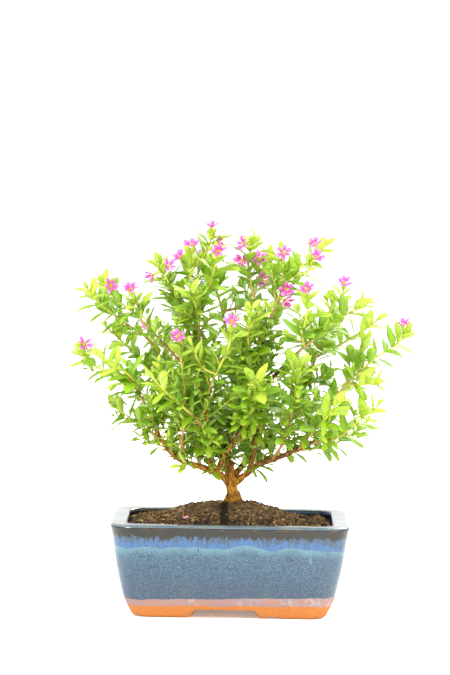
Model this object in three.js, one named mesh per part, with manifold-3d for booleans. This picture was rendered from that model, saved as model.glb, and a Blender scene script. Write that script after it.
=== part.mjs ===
// A cuphea bonsai in its glazed rectangular pot. Millimetres, +Z up, front towards -Y.
// The pot stands on z = 0, with the middle of the whole bonsai over the origin.
import * as THREE from "three";
import { mergeVertices } from "three/addons/utils/BufferGeometryUtils.js";
import Module from "manifold-3d";

const wasm = await Module();
wasm.setup();

// Driving dimensions of the pot
const potLength = 155;
const potDepth = 100;
const potHeight = 62;
const potMiddleX = -5.7;
const rimCorner = 14;
const lipWidth = 11;
const lipThickness = 5;
const wallThickness = 6;
const floorThickness = 5;
const archHeight = 5.8;
const frontArchWidth = 50;
const frontArchMiddleX = -8.2;
const sideArchWidth = 30;
const archSlope = 7;
const footThickness = 9;
const footInnerCorner = 6;
const bellyHeight = 33.5;
const rimRound = 1.8;
const cornerTaper = 0.25;
const drainHoleRadius = 7;
const drainHoleOffset = 32;

// Driving dimensions of what fills the pot
const gap = 0.3;
const soilEdgeHeight = 57.2;
const moundRise = 12.6;
const moundReachLeft = 52;
const moundReachRight = 40;
const moundReachDeep = 33;
const moundFall = 1.4;
const soilRoughness = 0.9;
const meshSide = 22;
const meshThickness = 0.9;
const meshHoles = 2;
const meshBar = 2;

// Driving dimensions of the plant
const trunkX = -3.7;
const trunkY = 3;
const trunkFoot = 70;
const plantLean = 0.0152;
const limbSides = 6;
const limbStep = 11;
const twigRadius = 1.1;
const twigTipRadius = 0.75;
const bareStep = 14;
const pairSpacing = 5.5;
const tipBud = 1;
const leafyReach = 55;
const bareStart = 6;
const bladeThickness = 0.65;
const leafLengths = [8, 11.5, 14.5, 16];
const leafAngles = [24, 38, 50, 60];
const leafSlenderness = 0.17;
const pairTurn = 67.5;
const leafSprawl = 26;
const leafSpread = 24;
const leafDroop = 0.34;
const calyxLength = 6.5;
const calyxRadii = [0.55, 1.1];
const corollaRadius = 4.2;
const corollaNotch = 0.3;
const petalHalfWidth = 13;
const petalLift = 1.1;
const petalThickness = 0.7;

const colours = {
  clay: { color: 0x6f8ea3, roughness: 0.3, metalness: 0 },
  soil: { color: 0x4a3524, roughness: 0.95, metalness: 0 },
  bark: { color: 0x9a6a35, roughness: 0.8, metalness: 0 },
  leaf: { color: 0x7fb01e, roughness: 0.5, metalness: 0 },
  petal: { color: 0xe870b4, roughness: 0.6, metalness: 0 },
  mesh: { color: 0x222522, roughness: 0.6, metalness: 0 },
};

const degrees = Math.PI / 180;
const up = new THREE.Vector3(0, 0, 1);

// One seeded random draw between 0 and 1 for a stem, a leaf on it and a use.
function draw(stem, leaf, use) {
  let bits = Math.imul(stem + 11, 0x9e3779b1) ^ Math.imul(leaf + 7, 0x85ebca77);
  bits ^= Math.imul(use + 3, 0xc2b2ae3d);
  bits = Math.imul(bits ^ (bits >>> 15), 0x2c1b3c6d);
  bits = Math.imul(bits ^ (bits >>> 12), 0x297a2d39);
  return ((bits ^ (bits >>> 15)) >>> 0) / 4294967296;
}

// A closed surface through rings of points, with each end closed by a flat cap.
function loft(rings) {
  const count = rings[0].length;
  const positions = rings.flatMap((ring) => ring.flatMap((place) => place.toArray()));
  const triangles = [];
  for (let ring = 0; ring + 1 < rings.length; ring += 1) {
    for (let side = 0; side < count; side += 1) {
      const a = ring * count + side;
      const b = ring * count + ((side + 1) % count);
      triangles.push([a, b, b + count], [a, b + count, a + count]);
    }
  }
  const last = (rings.length - 1) * count;
  for (let side = 1; side + 1 < count; side += 1) {
    triangles.push([0, side + 1, side], [last, last + side, last + side + 1]);
  }
  return closedGeometry(positions, triangles);
}

function closedGeometry(positions, triangles) {
  const geometry = new THREE.BufferGeometry();
  geometry.setAttribute("position", new THREE.Float32BufferAttribute(positions, 3));
  geometry.setIndex(triangles.flat());
  return geometry;
}

// Points that fall together are merged, and triangles that vanish with them are dropped.
function solidOf(geometry) {
  const bare = geometry.clone();
  bare.deleteAttribute("normal");
  bare.deleteAttribute("uv");
  const merged = mergeVertices(bare, 1e-4);
  const index = Array.from(merged.index.array);
  const kept = [];
  for (let corner = 0; corner < index.length; corner += 3) {
    const [a, b, c] = index.slice(corner, corner + 3);
    if (a !== b && b !== c && c !== a) kept.push(a, b, c);
  }
  const vertProperties = new Float32Array(merged.attributes.position.array);
  const triVerts = new Uint32Array(kept);
  return new wasm.Manifold(new wasm.Mesh({ numProp: 3, vertProperties, triVerts }));
}

function geometryOf(solid) {
  const mesh = solid.getMesh();
  const geometry = new THREE.BufferGeometry();
  geometry.setAttribute("position", new THREE.Float32BufferAttribute(mesh.vertProperties, 3));
  geometry.setIndex(Array.from(mesh.triVerts));
  geometry.computeVertexNormals();
  return geometry;
}

// The largest body of a solid, without the scraps that a cut leaves loose.
function mainBody(solid) {
  const bodies = solid.decompose();
  return bodies.reduce((best, body) => (body.volume() > best.volume() ? body : best));
}

const joined = (solids) => solids.reduce((whole, solid) => whole.add(solid));

const bonsai = new THREE.Group();

function addPiece(name, solid, finish) {
  const mesh = new THREE.Mesh(geometryOf(solid), new THREE.MeshStandardMaterial(finish));
  mesh.name = name;
  bonsai.add(mesh);
}

// Pot: rounded rectangles stacked from the feet to the lip and down inside to the floor.
function plan(halfLength, corner, z) {
  const halfDepth = halfLength - (potLength - potDepth) / 2;
  const steps = 3;
  const ring = [];
  for (let quarter = 0; quarter < 4; quarter += 1) {
    const signX = quarter === 0 || quarter === 3 ? 1 : -1;
    const signY = quarter < 2 ? 1 : -1;
    for (let step = 0; step <= steps; step += 1) {
      const angle = (quarter + step / steps) * 90 * degrees;
      const x = signX * (halfLength - corner) + corner * Math.cos(angle);
      const y = signY * (halfDepth - corner) + corner * Math.sin(angle);
      ring.push(new THREE.Vector3(potMiddleX + x, y, z));
    }
  }
  return ring;
}

const rimHalf = potLength / 2;
const openingHalf = rimHalf - lipWidth;
const innerFloor = archHeight + floorThickness;
const lipUnderside = potHeight - lipThickness;

// The outer wall: how far it lies inside the rim's widest line at each height.
const outerProfile = [
  [16.5, 0],
  [14, 1.7],
  [11, 8],
  [8, 15.7],
  [4.2, bellyHeight],
  [1.3, 52.5],
  [0.2, potHeight - rimRound * 2],
  [0, potHeight - rimRound],
  [1.3, potHeight - 0.3],
  [3, potHeight],
].map(([inset, z]) => [rimHalf - inset, z]);

// The lip's inner edge, and the cavity below it down to the floor.
const lipProfile = [
  [openingHalf + 1.5, potHeight],
  [openingHalf, potHeight - 1.3],
  [openingHalf, lipUnderside],
];
const cavityProfile = [
  [0.4, lipUnderside],
  [3.8, bellyHeight],
  [8, innerFloor + 3.2],
  [11, innerFloor],
].map(([inset, z]) => [rimHalf - wallThickness - inset, z]);

function cornerAt(half) {
  return rimCorner - (rimHalf - half) * cornerTaper;
}

// An arch is a flat-topped gap with sloping ends, cut along one direction of the pot.
function archCutter(width, middleX, acrossDepth) {
  const outline = new THREE.Shape();
  outline.moveTo(-width / 2, -1);
  outline.lineTo(width / 2, -1);
  outline.lineTo(width / 2 - archSlope, archHeight);
  outline.lineTo(-width / 2 + archSlope, archHeight);
  const bar = new THREE.ExtrudeGeometry(outline, { depth: potLength + 20, bevelEnabled: false });
  bar.translate(0, 0, -potLength / 2 - 10);
  bar.rotateX(90 * degrees);
  if (!acrossDepth) bar.rotateZ(90 * degrees);
  bar.translate(middleX, 0, 0);
  return solidOf(bar);
}

function drainCutter(side) {
  const hole = new THREE.CylinderGeometry(drainHoleRadius, drainHoleRadius, 30, 16);
  hole.rotateX(90 * degrees);
  hole.translate(potMiddleX + side * drainHoleOffset, 0, innerFloor);
  return solidOf(hole);
}

function makePot() {
  const profile = [...outerProfile, ...lipProfile, ...cavityProfile];
  const rings = profile.map(([half, z]) => plan(half, cornerAt(half), z));
  const underHalf = outerProfile[0][0] - footThickness;
  const recess = solidOf(loft([-1, archHeight].map((z) => plan(underHalf, footInnerCorner, z))));
  const cuts = [
    recess,
    archCutter(frontArchWidth, frontArchMiddleX, true),
    archCutter(sideArchWidth, potMiddleX, false),
    drainCutter(-1),
    drainCutter(1),
  ];
  return solidOf(loft(rings)).subtract(joined(cuts));
}

// Drain mesh: a square of plastic net over each hole, on the pot's floor.
function makeDrainMesh(side, extra) {
  const size = meshSide + extra * 2;
  const bottom = innerFloor + gap - extra;
  const sheet = new THREE.BoxGeometry(size, size, meshThickness + extra * 2);
  const x = potMiddleX + side * drainHoleOffset;
  sheet.translate(x, 0, bottom + meshThickness / 2 + extra);
  let net = solidOf(sheet);
  if (extra > 0) return net;
  const pitch = (meshSide - meshBar) / meshHoles;
  for (let column = 0; column < meshHoles; column += 1) {
    for (let row = 0; row < meshHoles; row += 1) {
      const hole = new THREE.BoxGeometry(pitch - meshBar, pitch - meshBar, 10);
      const holeX = (column - (meshHoles - 1) / 2) * pitch;
      const holeY = (row - (meshHoles - 1) / 2) * pitch;
      hole.translate(x + holeX, holeY, bottom);
      net = net.subtract(solidOf(hole));
    }
  }
  return net;
}

// Soil: fills the cavity under the lip and rises in a rough mound to the trunk.
function soilHeight(x, y) {
  const reach = x < trunkX ? moundReachLeft : moundReachRight;
  const spread = Math.abs((x - trunkX) / reach) ** 3 + Math.abs((y - trunkY) / moundReachDeep) ** 3;
  return soilEdgeHeight + moundRise * Math.exp(-spread * moundFall);
}

// The soil's surface has a ring of points at each of these shares of the way out to the lip.
const soilRings = [1, 0.93, 0.84, 0.72, 0.58, 0.44, 0.3, 0.17, 0];

function makeSoil(trunkRoot) {
  const wall = cavityProfile.map(([half, z]) => [half - gap, z]).reverse();
  wall[0][1] = innerFloor + gap;
  wall[wall.length - 1][1] = lipUnderside - gap;
  const rings = wall.map(([half, z]) => plan(half, cornerAt(half), z));
  rings.push(plan(openingHalf - gap, cornerAt(openingHalf), lipUnderside - gap));
  const edge = plan(openingHalf - gap, cornerAt(openingHalf), 0);
  soilRings.forEach((share, level) => {
    rings.push(edge.map((place, side) => {
      const x = trunkX + (place.x - trunkX) * share;
      const y = trunkY + (place.y - trunkY) * share;
      const rough = share === 0 ? 0 : (draw(level, side, 50) - 0.5) * 2 * soilRoughness;
      return new THREE.Vector3(x, y, soilHeight(x, y) + rough);
    }));
  });
  const cuts = [makeDrainMesh(-1, gap), makeDrainMesh(1, gap), trunkRoot];
  return solidOf(loft(rings)).subtract(joined(cuts));
}

// Plant: its places are given as if it stood upright, with its foot at a height of 67. Here it is
// set on its own foot and leans a little to the left.
const drawnFoot = 67;

function grown([x, y, z]) {
  const height = z - drawnFoot;
  return new THREE.Vector3(x - height * plantLean, y, trunkFoot + height + (x - trunkX) * plantLean);
}

// Limbs and twigs are round tapered sweeps along smooth curves.
function smooth(places) {
  return new THREE.CatmullRomCurve3(places, false, "catmullrom", 0.5);
}

function sweep(curve, radii, steps, sides) {
  let normal = new THREE.Vector3(1, 0, 0);
  const rings = [];
  for (let step = 0; step <= steps; step += 1) {
    const share = step / steps;
    const centre = curve.getPoint(share);
    const tangent = curve.getTangent(share);
    normal = normal.clone().addScaledVector(tangent, -normal.dot(tangent)).normalize();
    const side = new THREE.Vector3().crossVectors(tangent, normal);
    const radius = radiusAt(radii, share);
    const ring = [];
    for (let corner = 0; corner < sides; corner += 1) {
      const angle = (corner / sides) * 360 * degrees;
      const place = centre.clone().addScaledVector(normal, radius * Math.cos(angle));
      ring.push(place.addScaledVector(side, radius * Math.sin(angle)));
    }
    rings.push(ring);
  }
  return solidOf(loft(rings));
}

function radiusAt(radii, share) {
  const span = share * (radii.length - 1);
  const low = Math.min(Math.floor(span), radii.length - 2);
  return radii[low] + (radii[low + 1] - radii[low]) * (span - low);
}

// The trunk and its limbs, each a list of places with the radii along it.
const limbs = {
  trunk: { radii: [4.6, 5.2, 3.9, 3.7, 3.2], path: [[-3.5, 3, 46], [-3.7, 3, 67], [-4.4, 3, 75], [-6, 3, 85]] },
  left: {
    radii: [2.7, 2.2, 1.9, 1.5, 1.2],
    path: [[-5.5, 3, 79], [-12, 1, 86], [-24, -4, 92], [-41, -8, 99], [-52, -10, 113], [-58, -12, 127]],
  },
  right: {
    radii: [2.6, 2.1, 1.8, 1.5, 1.2],
    path: [[-3.5, 3, 80], [3.4, 1, 86], [13, -2, 93.5], [25, -4, 98], [43, -6, 106], [56, -8, 113]],
  },
  centre: {
    radii: [3.1, 2.8, 2.4, 1.9, 1.5, 1.2],
    path: [[-6, 3, 82], [-6.5, 5, 93], [-12, 8, 102], [-18.5, 10, 113], [-23, 11, 130], [-25, 9, 150],
      [-26.5, 7, 172]],
  },
  middle: {
    radii: [1.7, 1.5, 1.3, 1.1],
    path: [[-15, 0, 88], [-9, -4, 101], [-3, -7, 110], [4, -10, 126], [9, -10, 145], [13, -9, 168]],
  },
  backLeft: {
    radii: [2.3, 1.9, 1.5, 1.2],
    path: [[-6, 4, 84], [-12, 18, 97], [-26, 34, 114], [-42, 45, 134], [-52, 50, 152]],
  },
  backRight: {
    radii: [2.3, 1.9, 1.5, 1.2],
    path: [[-5, 4, 83], [6, 18, 95], [22, 34, 110], [38, 46, 130], [48, 50, 150]],
  },
  rise: {
    radii: [1.7, 1.5, 1.3, 1.1],
    path: [[7, -1, 89.5], [10, -6, 104], [14, -12, 124], [19, -16, 147], [35, -20, 166]],
  },
  front: {
    radii: [1.6, 1.4, 1.2, 1],
    path: [[-17, -2, 89], [-20, -16, 103], [-22, -28, 122], [-20, -34, 144]],
  },
  back: {
    radii: [1.8, 1.5, 1.3, 1.1],
    path: [[-10, 7, 99], [-4, 24, 118], [-4, 40, 140], [-6, 48, 165]],
  },
  stubLow: { radii: [1.5, 1.5], path: [[-6.4, 4.6, 91], [-3.6, 2.4, 94]] },
  stubHigh: { radii: [1.3, 1.2], path: [[-9.5, 7, 99], [-7.6, 4.6, 102.5]] },
};

for (const limb of Object.values(limbs)) {
  limb.curve = smooth(limb.path.map(grown));
  limb.steps = Math.max(1, Math.round(limb.curve.getLength() / limbStep));
}

function makeTrunk(extra) {
  const parts = Object.values(limbs).map(({ curve, radii, steps }) => {
    return sweep(curve, radii.map((radius) => radius + extra), steps, limbSides);
  });
  return joined(parts);
}

// The leafy stems. A stem starts on a limb, or on an earlier stem of its own spray, at a share of
// that one's length, and runs through its places to its tip.
const sprays = [
  { name: "left_low_tip", stems: [
    { on: "left", at: 1, path: [[-66, -13, 141], [-84, -14, 154], [-99, -14, 163], [-103, -14, 170]] },
    { on: 0, at: 0.22, path: [[-67, -25, 150], [-78, -35, 161], [-91, -41, 169]] },
  ] },
  { name: "left_hanging", stems: [
    { on: "left", at: 0.78, path: [[-62, -7, 118], [-74, -1, 126], [-86, 3, 134]] },
  ] },
  { name: "left_high", stems: [
    { on: "centre", at: 0.75, path: [[-38, 4, 160], [-52, -4, 176], [-68, -8, 193], [-82, -10, 204],
      [-89, -10, 213]] },
    { on: 0, at: 0.55, path: [[-64, -14, 197], [-70, -18, 206]] },
  ] },
  { name: "left_back_high", stems: [
    { on: "backLeft", at: 1, path: [[-60, 37, 172], [-76, 26, 185], [-92, 18, 198], [-100, 14, 208]] },
  ] },
  { name: "top_left", stems: [
    { on: "centre", at: 0.97, path: [[-36, 2, 186], [-42, -2, 203], [-47, -4, 215], [-53, -5, 226]] },
  ] },
  { name: "front_left_upright", stems: [
    { on: "left", at: 0.55, path: [[-37, -22, 112], [-35, -32, 127], [-35, -40, 147], [-37, -45, 166],
      [-38, -47, 179]] },
  ] },
  { name: "left_inner", stems: [
    { on: "left", at: 0.42, path: [[-31, -9, 112], [-40, -16, 130], [-46, -22, 146], [-52, -24, 162]] },
  ] },
  { name: "left_short", stems: [
    { on: "left", at: 0.5, path: [[-34, -14, 95], [-38, -20, 95]] },
  ] },
  { name: "front_middle", stems: [
    { on: "front", at: 1, path: [[-14, -42, 158], [-7, -47, 173], [-4, -49, 188]] },
    { on: 0, at: 0.3, path: [[-24, -44, 162], [-30, -52, 176]] },
  ] },
  { name: "top", stems: [
    { on: "centre", at: 1, path: [[-27, 6, 195], [-27, 4, 218], [-21, 2, 234], [-17.6, 1, 243]] },
    { on: 0, at: 0.68, path: [[-29, -3, 224], [-30, -7, 233]] },
    { on: 0, at: 0.45, path: [[-32, 12, 216], [-35, 15, 227]] },
    { on: 0, at: 0.3, path: [[-21, -5, 206], [-18, -11, 216], [-15, -15, 226], [-14, -17, 235]] },
  ] },
  { name: "top_middle", stems: [
    { on: "middle", at: 1, path: [[13, -5, 190], [8, 0, 212], [6, 3, 228], [10, 4, 241]] },
    { on: 0, at: 0.5, path: [[13, 4, 214], [13, 6, 227]] },
  ] },
  { name: "top_right", stems: [
    { on: "middle", at: 0.94, path: [[18, -14, 182], [24, -16, 200], [30, -16, 212], [41, -14, 224],
      [57, -12, 238]] },
    { on: 0, at: 0.55, path: [[29, -7, 222], [28, -3, 232]] },
    { on: 0, at: 0.7, path: [[44, -22, 221], [47, -26, 228]] },
  ] },
  { name: "right_high", stems: [
    { on: "rise", at: 1, path: [[48, -20, 177], [61, -18, 187], [73, -15, 195], [83, -13, 200]] },
    { on: 0, at: 0.6, path: [[66, -12, 201], [68, -8, 209]] },
    { on: 0, at: 0.14, path: [[41, -28, 180], [44, -33, 196], [45, -34, 208]] },
  ] },
  { name: "right_tip", stems: [
    { on: "right", at: 1, path: [[59, -8, 131], [70, -8, 147], [88, -6, 163], [103, -4, 173], [109.5, -4, 180]] },
    { on: 0, at: 0.45, path: [[78, 4, 161], [85, 12, 175]] },
    { on: 0, at: 0.4, path: [[80, -20, 148], [92, -27, 150]] },
  ] },
  { name: "right_low", stems: [
    { on: "right", at: 0.86, path: [[64, -19, 113], [78, -25, 125], [90, -29, 135]] },
  ] },
  { name: "right_hanging", stems: [
    { on: "right", at: 0.72, path: [[58, 6, 105], [73, 12, 111], [84, 15, 119]] },
  ] },
  { name: "right_front", stems: [
    { on: "right", at: 0.55, path: [[30, -20, 112], [34, -32, 130], [37, -42, 150], [41, -47, 166]] },
  ] },
  { name: "front_low", stems: [
    { on: "middle", at: 0.42, path: [[6, -28, 124], [9, -47, 142], [13, -64, 157]] },
  ] },
  { name: "right_front_low", stems: [
    { on: "right", at: 0.75, path: [[46, -24, 115], [55, -42, 127], [63, -57, 140]] },
  ] },
  { name: "left_front", stems: [
    { on: "front", at: 0.6, path: [[-30, -42, 130], [-44, -56, 144], [-56, -67, 158]] },
  ] },
  { name: "front_high", stems: [
    { on: "middle", at: 0.78, path: [[6, -26, 162], [6, -38, 180], [8, -46, 198]] },
  ] },
  { name: "top_front", stems: [
    { on: "centre", at: 0.9, path: [[-26, -12, 184], [-28, -28, 199], [-32, -38, 212]] },
  ] },
  { name: "left_back_low", stems: [
    { on: "backLeft", at: 0.6, path: [[-54, 42, 128], [-68, 45, 138], [-84, 46, 150]] },
  ] },
  { name: "back_left", stems: [
    { on: "backLeft", at: 0.88, path: [[-53, 57, 159], [-60, 62, 178]] },
    { on: 0, at: 0.45, path: [[-44, 60, 174], [-40, 63, 191]] },
    { on: 0, at: 0.12, path: [[-61, 46, 153], [-74, 42, 167], [-89, 33, 182]] },
  ] },
  { name: "right_back_low", stems: [
    { on: "backRight", at: 0.6, path: [[50, 44, 124], [66, 48, 134], [84, 50, 148]] },
  ] },
  { name: "back_right", stems: [
    { on: "backRight", at: 1, path: [[54, 57, 166], [62, 61, 182]] },
    { on: 0, at: 0.35, path: [[44, 58, 172], [40, 62, 190]] },
    { on: 0, at: 0.3, path: [[68, 56, 168], [82, 50, 177], [92, 44, 185]] },
    { on: 0, at: 0.12, path: [[53, 40, 168], [59, 34, 186], [63, 29, 202]] },
  ] },
  { name: "back_top", stems: [
    { on: "back", at: 1, path: [[-11, 42, 190], [-17, 34, 212], [-22, 30, 226]] },
    { on: 0, at: 0.35, path: [[4, 44, 196], [14, 36, 214], [20, 32, 229]] },
    { on: 1, at: 0.5, path: [[28, 36, 214], [42, 30, 224]] },
  ] },
  { name: "back_middle", stems: [
    { on: "back", at: 0.55, path: [[-4, 52, 142], [-5, 57, 156], [-6, 60, 172]] },
    { on: 0, at: 0.4, path: [[8, 57, 152], [17, 61, 162]] },
  ] },
];

// The flowers: the stem each grows from, where along it, and the way it faces.
const blooms = [
  { on: "top", stem: 0, at: 0.98, face: [0, -0.3, 1] },
  { on: "top", stem: 0, at: 0.86, face: [1, -0.5, 0.2] },
  { on: "top", stem: 1, at: 0.95, face: [-0.1, -0.6, 0.8] },
  { on: "top", stem: 2, at: 0.9, face: [-0.6, -0.6, 0.6] },
  { on: "top", stem: 3, at: 0.9, face: [0.1, -0.9, 0.4] },
  { on: "top_left", stem: 0, at: 0.86, face: [0.5, -0.6, 0.6] },
  { on: "top_left", stem: 0, at: 0.9, face: [-0.8, -0.5, -0.5] },
  { on: "top_middle", stem: 0, at: 0.88, face: [-0.7, -0.6, 0.4] },
  { on: "top_middle", stem: 0, at: 0.75, face: [-0.5, -0.8, -0.1] },
  { on: "top_middle", stem: 1, at: 0.95, face: [0, -0.9, 0.4] },
  { on: "top_middle", stem: 1, at: 0.55, face: [0.3, -0.9, 0] },
  { on: "top_right", stem: 0, at: 0.93, face: [-0.3, -0.6, 0.8] },
  { on: "top_right", stem: 0, at: 0.58, face: [0.2, -1, -0.1] },
  { on: "top_right", stem: 0, at: 0.48, face: [0.6, -0.8, -0.4] },
  { on: "top_right", stem: 1, at: 0.85, face: [0.1, -0.8, 0.5] },
  { on: "top_right", stem: 2, at: 0.95, face: [0.4, -0.7, 0.5] },
  { on: "right_high", stem: 1, at: 0.95, face: [0.1, -0.7, 0.7] },
  { on: "right_high", stem: 2, at: 0.95, face: [-0.2, -0.8, 0.6] },
  { on: "right_tip", stem: 0, at: 0.97, face: [-0.2, -0.4, 0.9] },
  { on: "left_high", stem: 0, at: 0.94, face: [0.5, -0.8, 0.2] },
  { on: "left_high", stem: 1, at: 0.95, face: [-0.1, -0.7, 0.6] },
  { on: "left_low_tip", stem: 0, at: 0.97, face: [0.3, -0.7, 0.6] },
  { on: "front_left_upright", stem: 0, at: 0.97, face: [-0.1, -0.8, 0.6] },
  { on: "front_middle", stem: 0, at: 0.96, face: [0, -0.7, 0.7] },
  { on: "back_top", stem: 0, at: 0.95, face: [-0.3, 0.8, 0.5] },
  { on: "back_top", stem: 1, at: 0.9, face: [0.3, 0.8, 0.5] },
  { on: "back_left", stem: 0, at: 0.95, face: [-0.4, 0.8, 0.4] },
];

function sprayNamed(name) {
  return sprays.find((spray) => spray.name === name);
}

sprays.forEach((spray) => {
  spray.stems.forEach((stem) => {
    const parent = typeof stem.on === "string" ? limbs[stem.on] : spray.stems[stem.on];
    const start = parent.curve.getPoint(stem.at);
    stem.curve = smooth([start, ...stem.path.map(grown)]);
    stem.length = stem.curve.getLength();
  });
});

const stemList = sprays.flatMap((spray) => spray.stems.map((stem) => ({ spray, stem })));
stemList.forEach(({ stem }, number) => {
  stem.number = number;
});

// A steady frame across a stem: the first normal is carried along the curve without twisting.
const frameSteps = 32;

function frameAt(curve, share) {
  const tangent = curve.getTangent(0);
  const normal = new THREE.Vector3().crossVectors(tangent, up);
  if (normal.length() < 0.2) normal.set(1, 0, 0);
  const stops = Math.ceil(share * frameSteps);
  for (let stop = 0; stop <= stops; stop += 1) {
    tangent.copy(curve.getTangent(Math.min(stop / frameSteps, share)));
    normal.addScaledVector(tangent, -normal.dot(tangent)).normalize();
  }
  return { tangent, normal, across: new THREE.Vector3().crossVectors(tangent, normal) };
}

function outwards({ normal, across }, angle) {
  const spread = normal.clone().multiplyScalar(Math.cos(angle * degrees));
  return spread.addScaledVector(across, Math.sin(angle * degrees));
}

// Where a leaf grows: counted in pairs from the stem's tip, two facing leaves to a pair.
function pairShare(stem, pair) {
  return 1 - (tipBud + pair * pairSpacing) / stem.length;
}

function pairAngle(stem, pair) {
  return draw(stem.number, 0, 1) * 360 + pair * pairTurn;
}

function leafPlacement(stem, pair, which, [turn, rise, shrink]) {
  const share = pairShare(stem, pair);
  const root = stem.curve.getPoint(share);
  const frame = frameAt(stem.curve, share);
  const young = Math.min(pair, leafLengths.length - 1);
  const leaf = pair * 2 + which;
  const sprawl = (draw(stem.number, leaf, 2) - 0.5) * leafSprawl;
  const outward = outwards(frame, pairAngle(stem, pair) + which * 180 + sprawl + turn);
  const open = leafAngles[young] + (draw(stem.number, leaf, 3) - 0.35) * leafSpread + rise;
  const direction = outward.multiplyScalar(Math.sin(open * degrees));
  direction.addScaledVector(frame.tangent, Math.cos(open * degrees));
  direction.addScaledVector(up, 0.12).normalize();
  const face = frame.tangent.clone().multiplyScalar(0.7).addScaledVector(up, 0.75);
  face.addScaledVector(direction, -face.dot(direction)).normalize();
  const length = leafLengths[young] * (0.86 + draw(stem.number, leaf, 4) * 0.36) * shrink;
  const halfWidth = length * leafSlenderness * (0.9 + draw(stem.number, leaf, 5) * 0.25);
  const droop = draw(stem.number, leaf, 6) * leafDroop - 0.06;
  return { root, direction, face, length, halfWidth, droop };
}

// A blade is a thin arched slab, widest before its middle, that ends in a point.
const bladeStations = [[0.36, 1], [0.72, 0.78], [1, 0]];

function bladeRing({ root, direction, face, length, halfWidth, droop }, [share, width], extra) {
  const side = new THREE.Vector3().crossVectors(face, direction).normalize();
  const middle = root.clone().addScaledVector(direction, (length + extra) * share);
  middle.addScaledVector(face, -droop * length * share * share);
  return [[-1, -1], [1, -1], [1, 1], [-1, 1]].map(([across, above]) => {
    const place = middle.clone().addScaledVector(side, across * (halfWidth * width + extra));
    return place.addScaledVector(face, above * (bladeThickness / 2 + extra));
  });
}

// A blade by itself from just off its stem, for keeping leaves clear of each other.
function looseBlade(placement, extra) {
  const stations = [[0.16, 0.5], ...bladeStations];
  return solidOf(loft(stations.map((station) => bladeRing(placement, station, extra))));
}

// A leafy stem is one closed surface: a four-sided twig that runs out into its leaves where a
// short face, as high as a blade is thick, lies between two rings.
function leafyStem(stem) {
  const positions = [];
  const triangles = [];
  const addRing = (ring) => {
    ring.forEach((place) => positions.push(...place.toArray()));
    return positions.length / 3 - ring.length;
  };
  const addBand = (low, high, side) => {
    const next = (side + 1) % 4;
    triangles.push([low + side, low + next, high + next], [low + side, high + next, high + side]);
  };
  const twigRing = (share, angle) => {
    const centre = stem.curve.getPoint(share);
    const frame = frameAt(stem.curve, share);
    const radius = radiusAt([twigRadius, twigTipRadius], share);
    return [0, 1, 2, 3].map((corner) => {
      return centre.clone().addScaledVector(outwards(frame, angle + corner * 90), radius);
    });
  };
  const leafy = [...stem.pairs].sort((a, b) => a.share - b.share);
  const bare = Math.floor((leafy[0].share * stem.length) / bareStep);
  let angle = pairAngle(stem, leafy[0].pair) - 45;
  let low = addRing(twigRing(0, angle));
  triangles.push([low, low + 2, low + 1], [low, low + 3, low + 2]);
  for (let stop = 1; stop <= bare; stop += 1) {
    const high = addRing(twigRing((leafy[0].share * stop) / (bare + 1), angle));
    [0, 1, 2, 3].forEach((side) => addBand(low, high, side));
    low = high;
  }
  leafy.forEach(({ pair, share, leaves }) => {
    const towards = pairAngle(stem, pair) - 45;
    const quarters = Math.round((towards - angle) / 90);
    angle = towards - quarters * 90;
    const halfHeight = bladeThickness / 2 / stem.length;
    const bottom = addRing(twigRing(share - halfHeight, angle));
    [0, 1, 2, 3].forEach((side) => addBand(low, bottom, side));
    const top = addRing(twigRing(share + halfHeight, angle));
    [0, 1, 2, 3].forEach((side) => {
      const which = (((side - quarters) % 4) + 4) % 4;
      const leaf = which % 2 === 0 ? leaves[which / 2] : undefined;
      if (leaf === undefined) {
        addBand(bottom, top, side);
        return;
      }
      const next = (side + 1) % 4;
      let from = [bottom + side, bottom + next, top + next, top + side];
      bladeStations.forEach((station) => {
        const first = addRing(bladeRing(leaf, station, 0));
        const to = [first, first + 1, first + 2, first + 3];
        from.forEach((corner, edge) => {
          const after = (edge + 1) % 4;
          triangles.push([corner, from[after], to[after]], [corner, to[after], to[edge]]);
        });
        from = to;
      });
      triangles.push([from[0], from[1], from[2]], [from[0], from[2], from[3]]);
    });
    low = top;
  });
  const tip = addRing([0, 1, 2, 3].map(() => stem.curve.getPoint(1)));
  [0, 1, 2, 3].forEach((side) => addBand(low, tip, side));
  return solidOf(closedGeometry(positions, triangles));
}

// A flower: a short stalk and calyx tube in the stem's green, and the pink corolla on its mouth.
function bloomPlacement(bloom) {
  const stem = sprayNamed(bloom.on).stems[bloom.stem];
  const root = stem.curve.getPoint(bloom.at);
  const facing = new THREE.Vector3(...bloom.face).normalize();
  const mouth = root.clone().addScaledVector(facing, calyxLength);
  return { root, facing, mouth };
}

function calyx({ root, mouth }) {
  return sweep(smooth([root, mouth]), calyxRadii, 1, 5);
}

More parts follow.
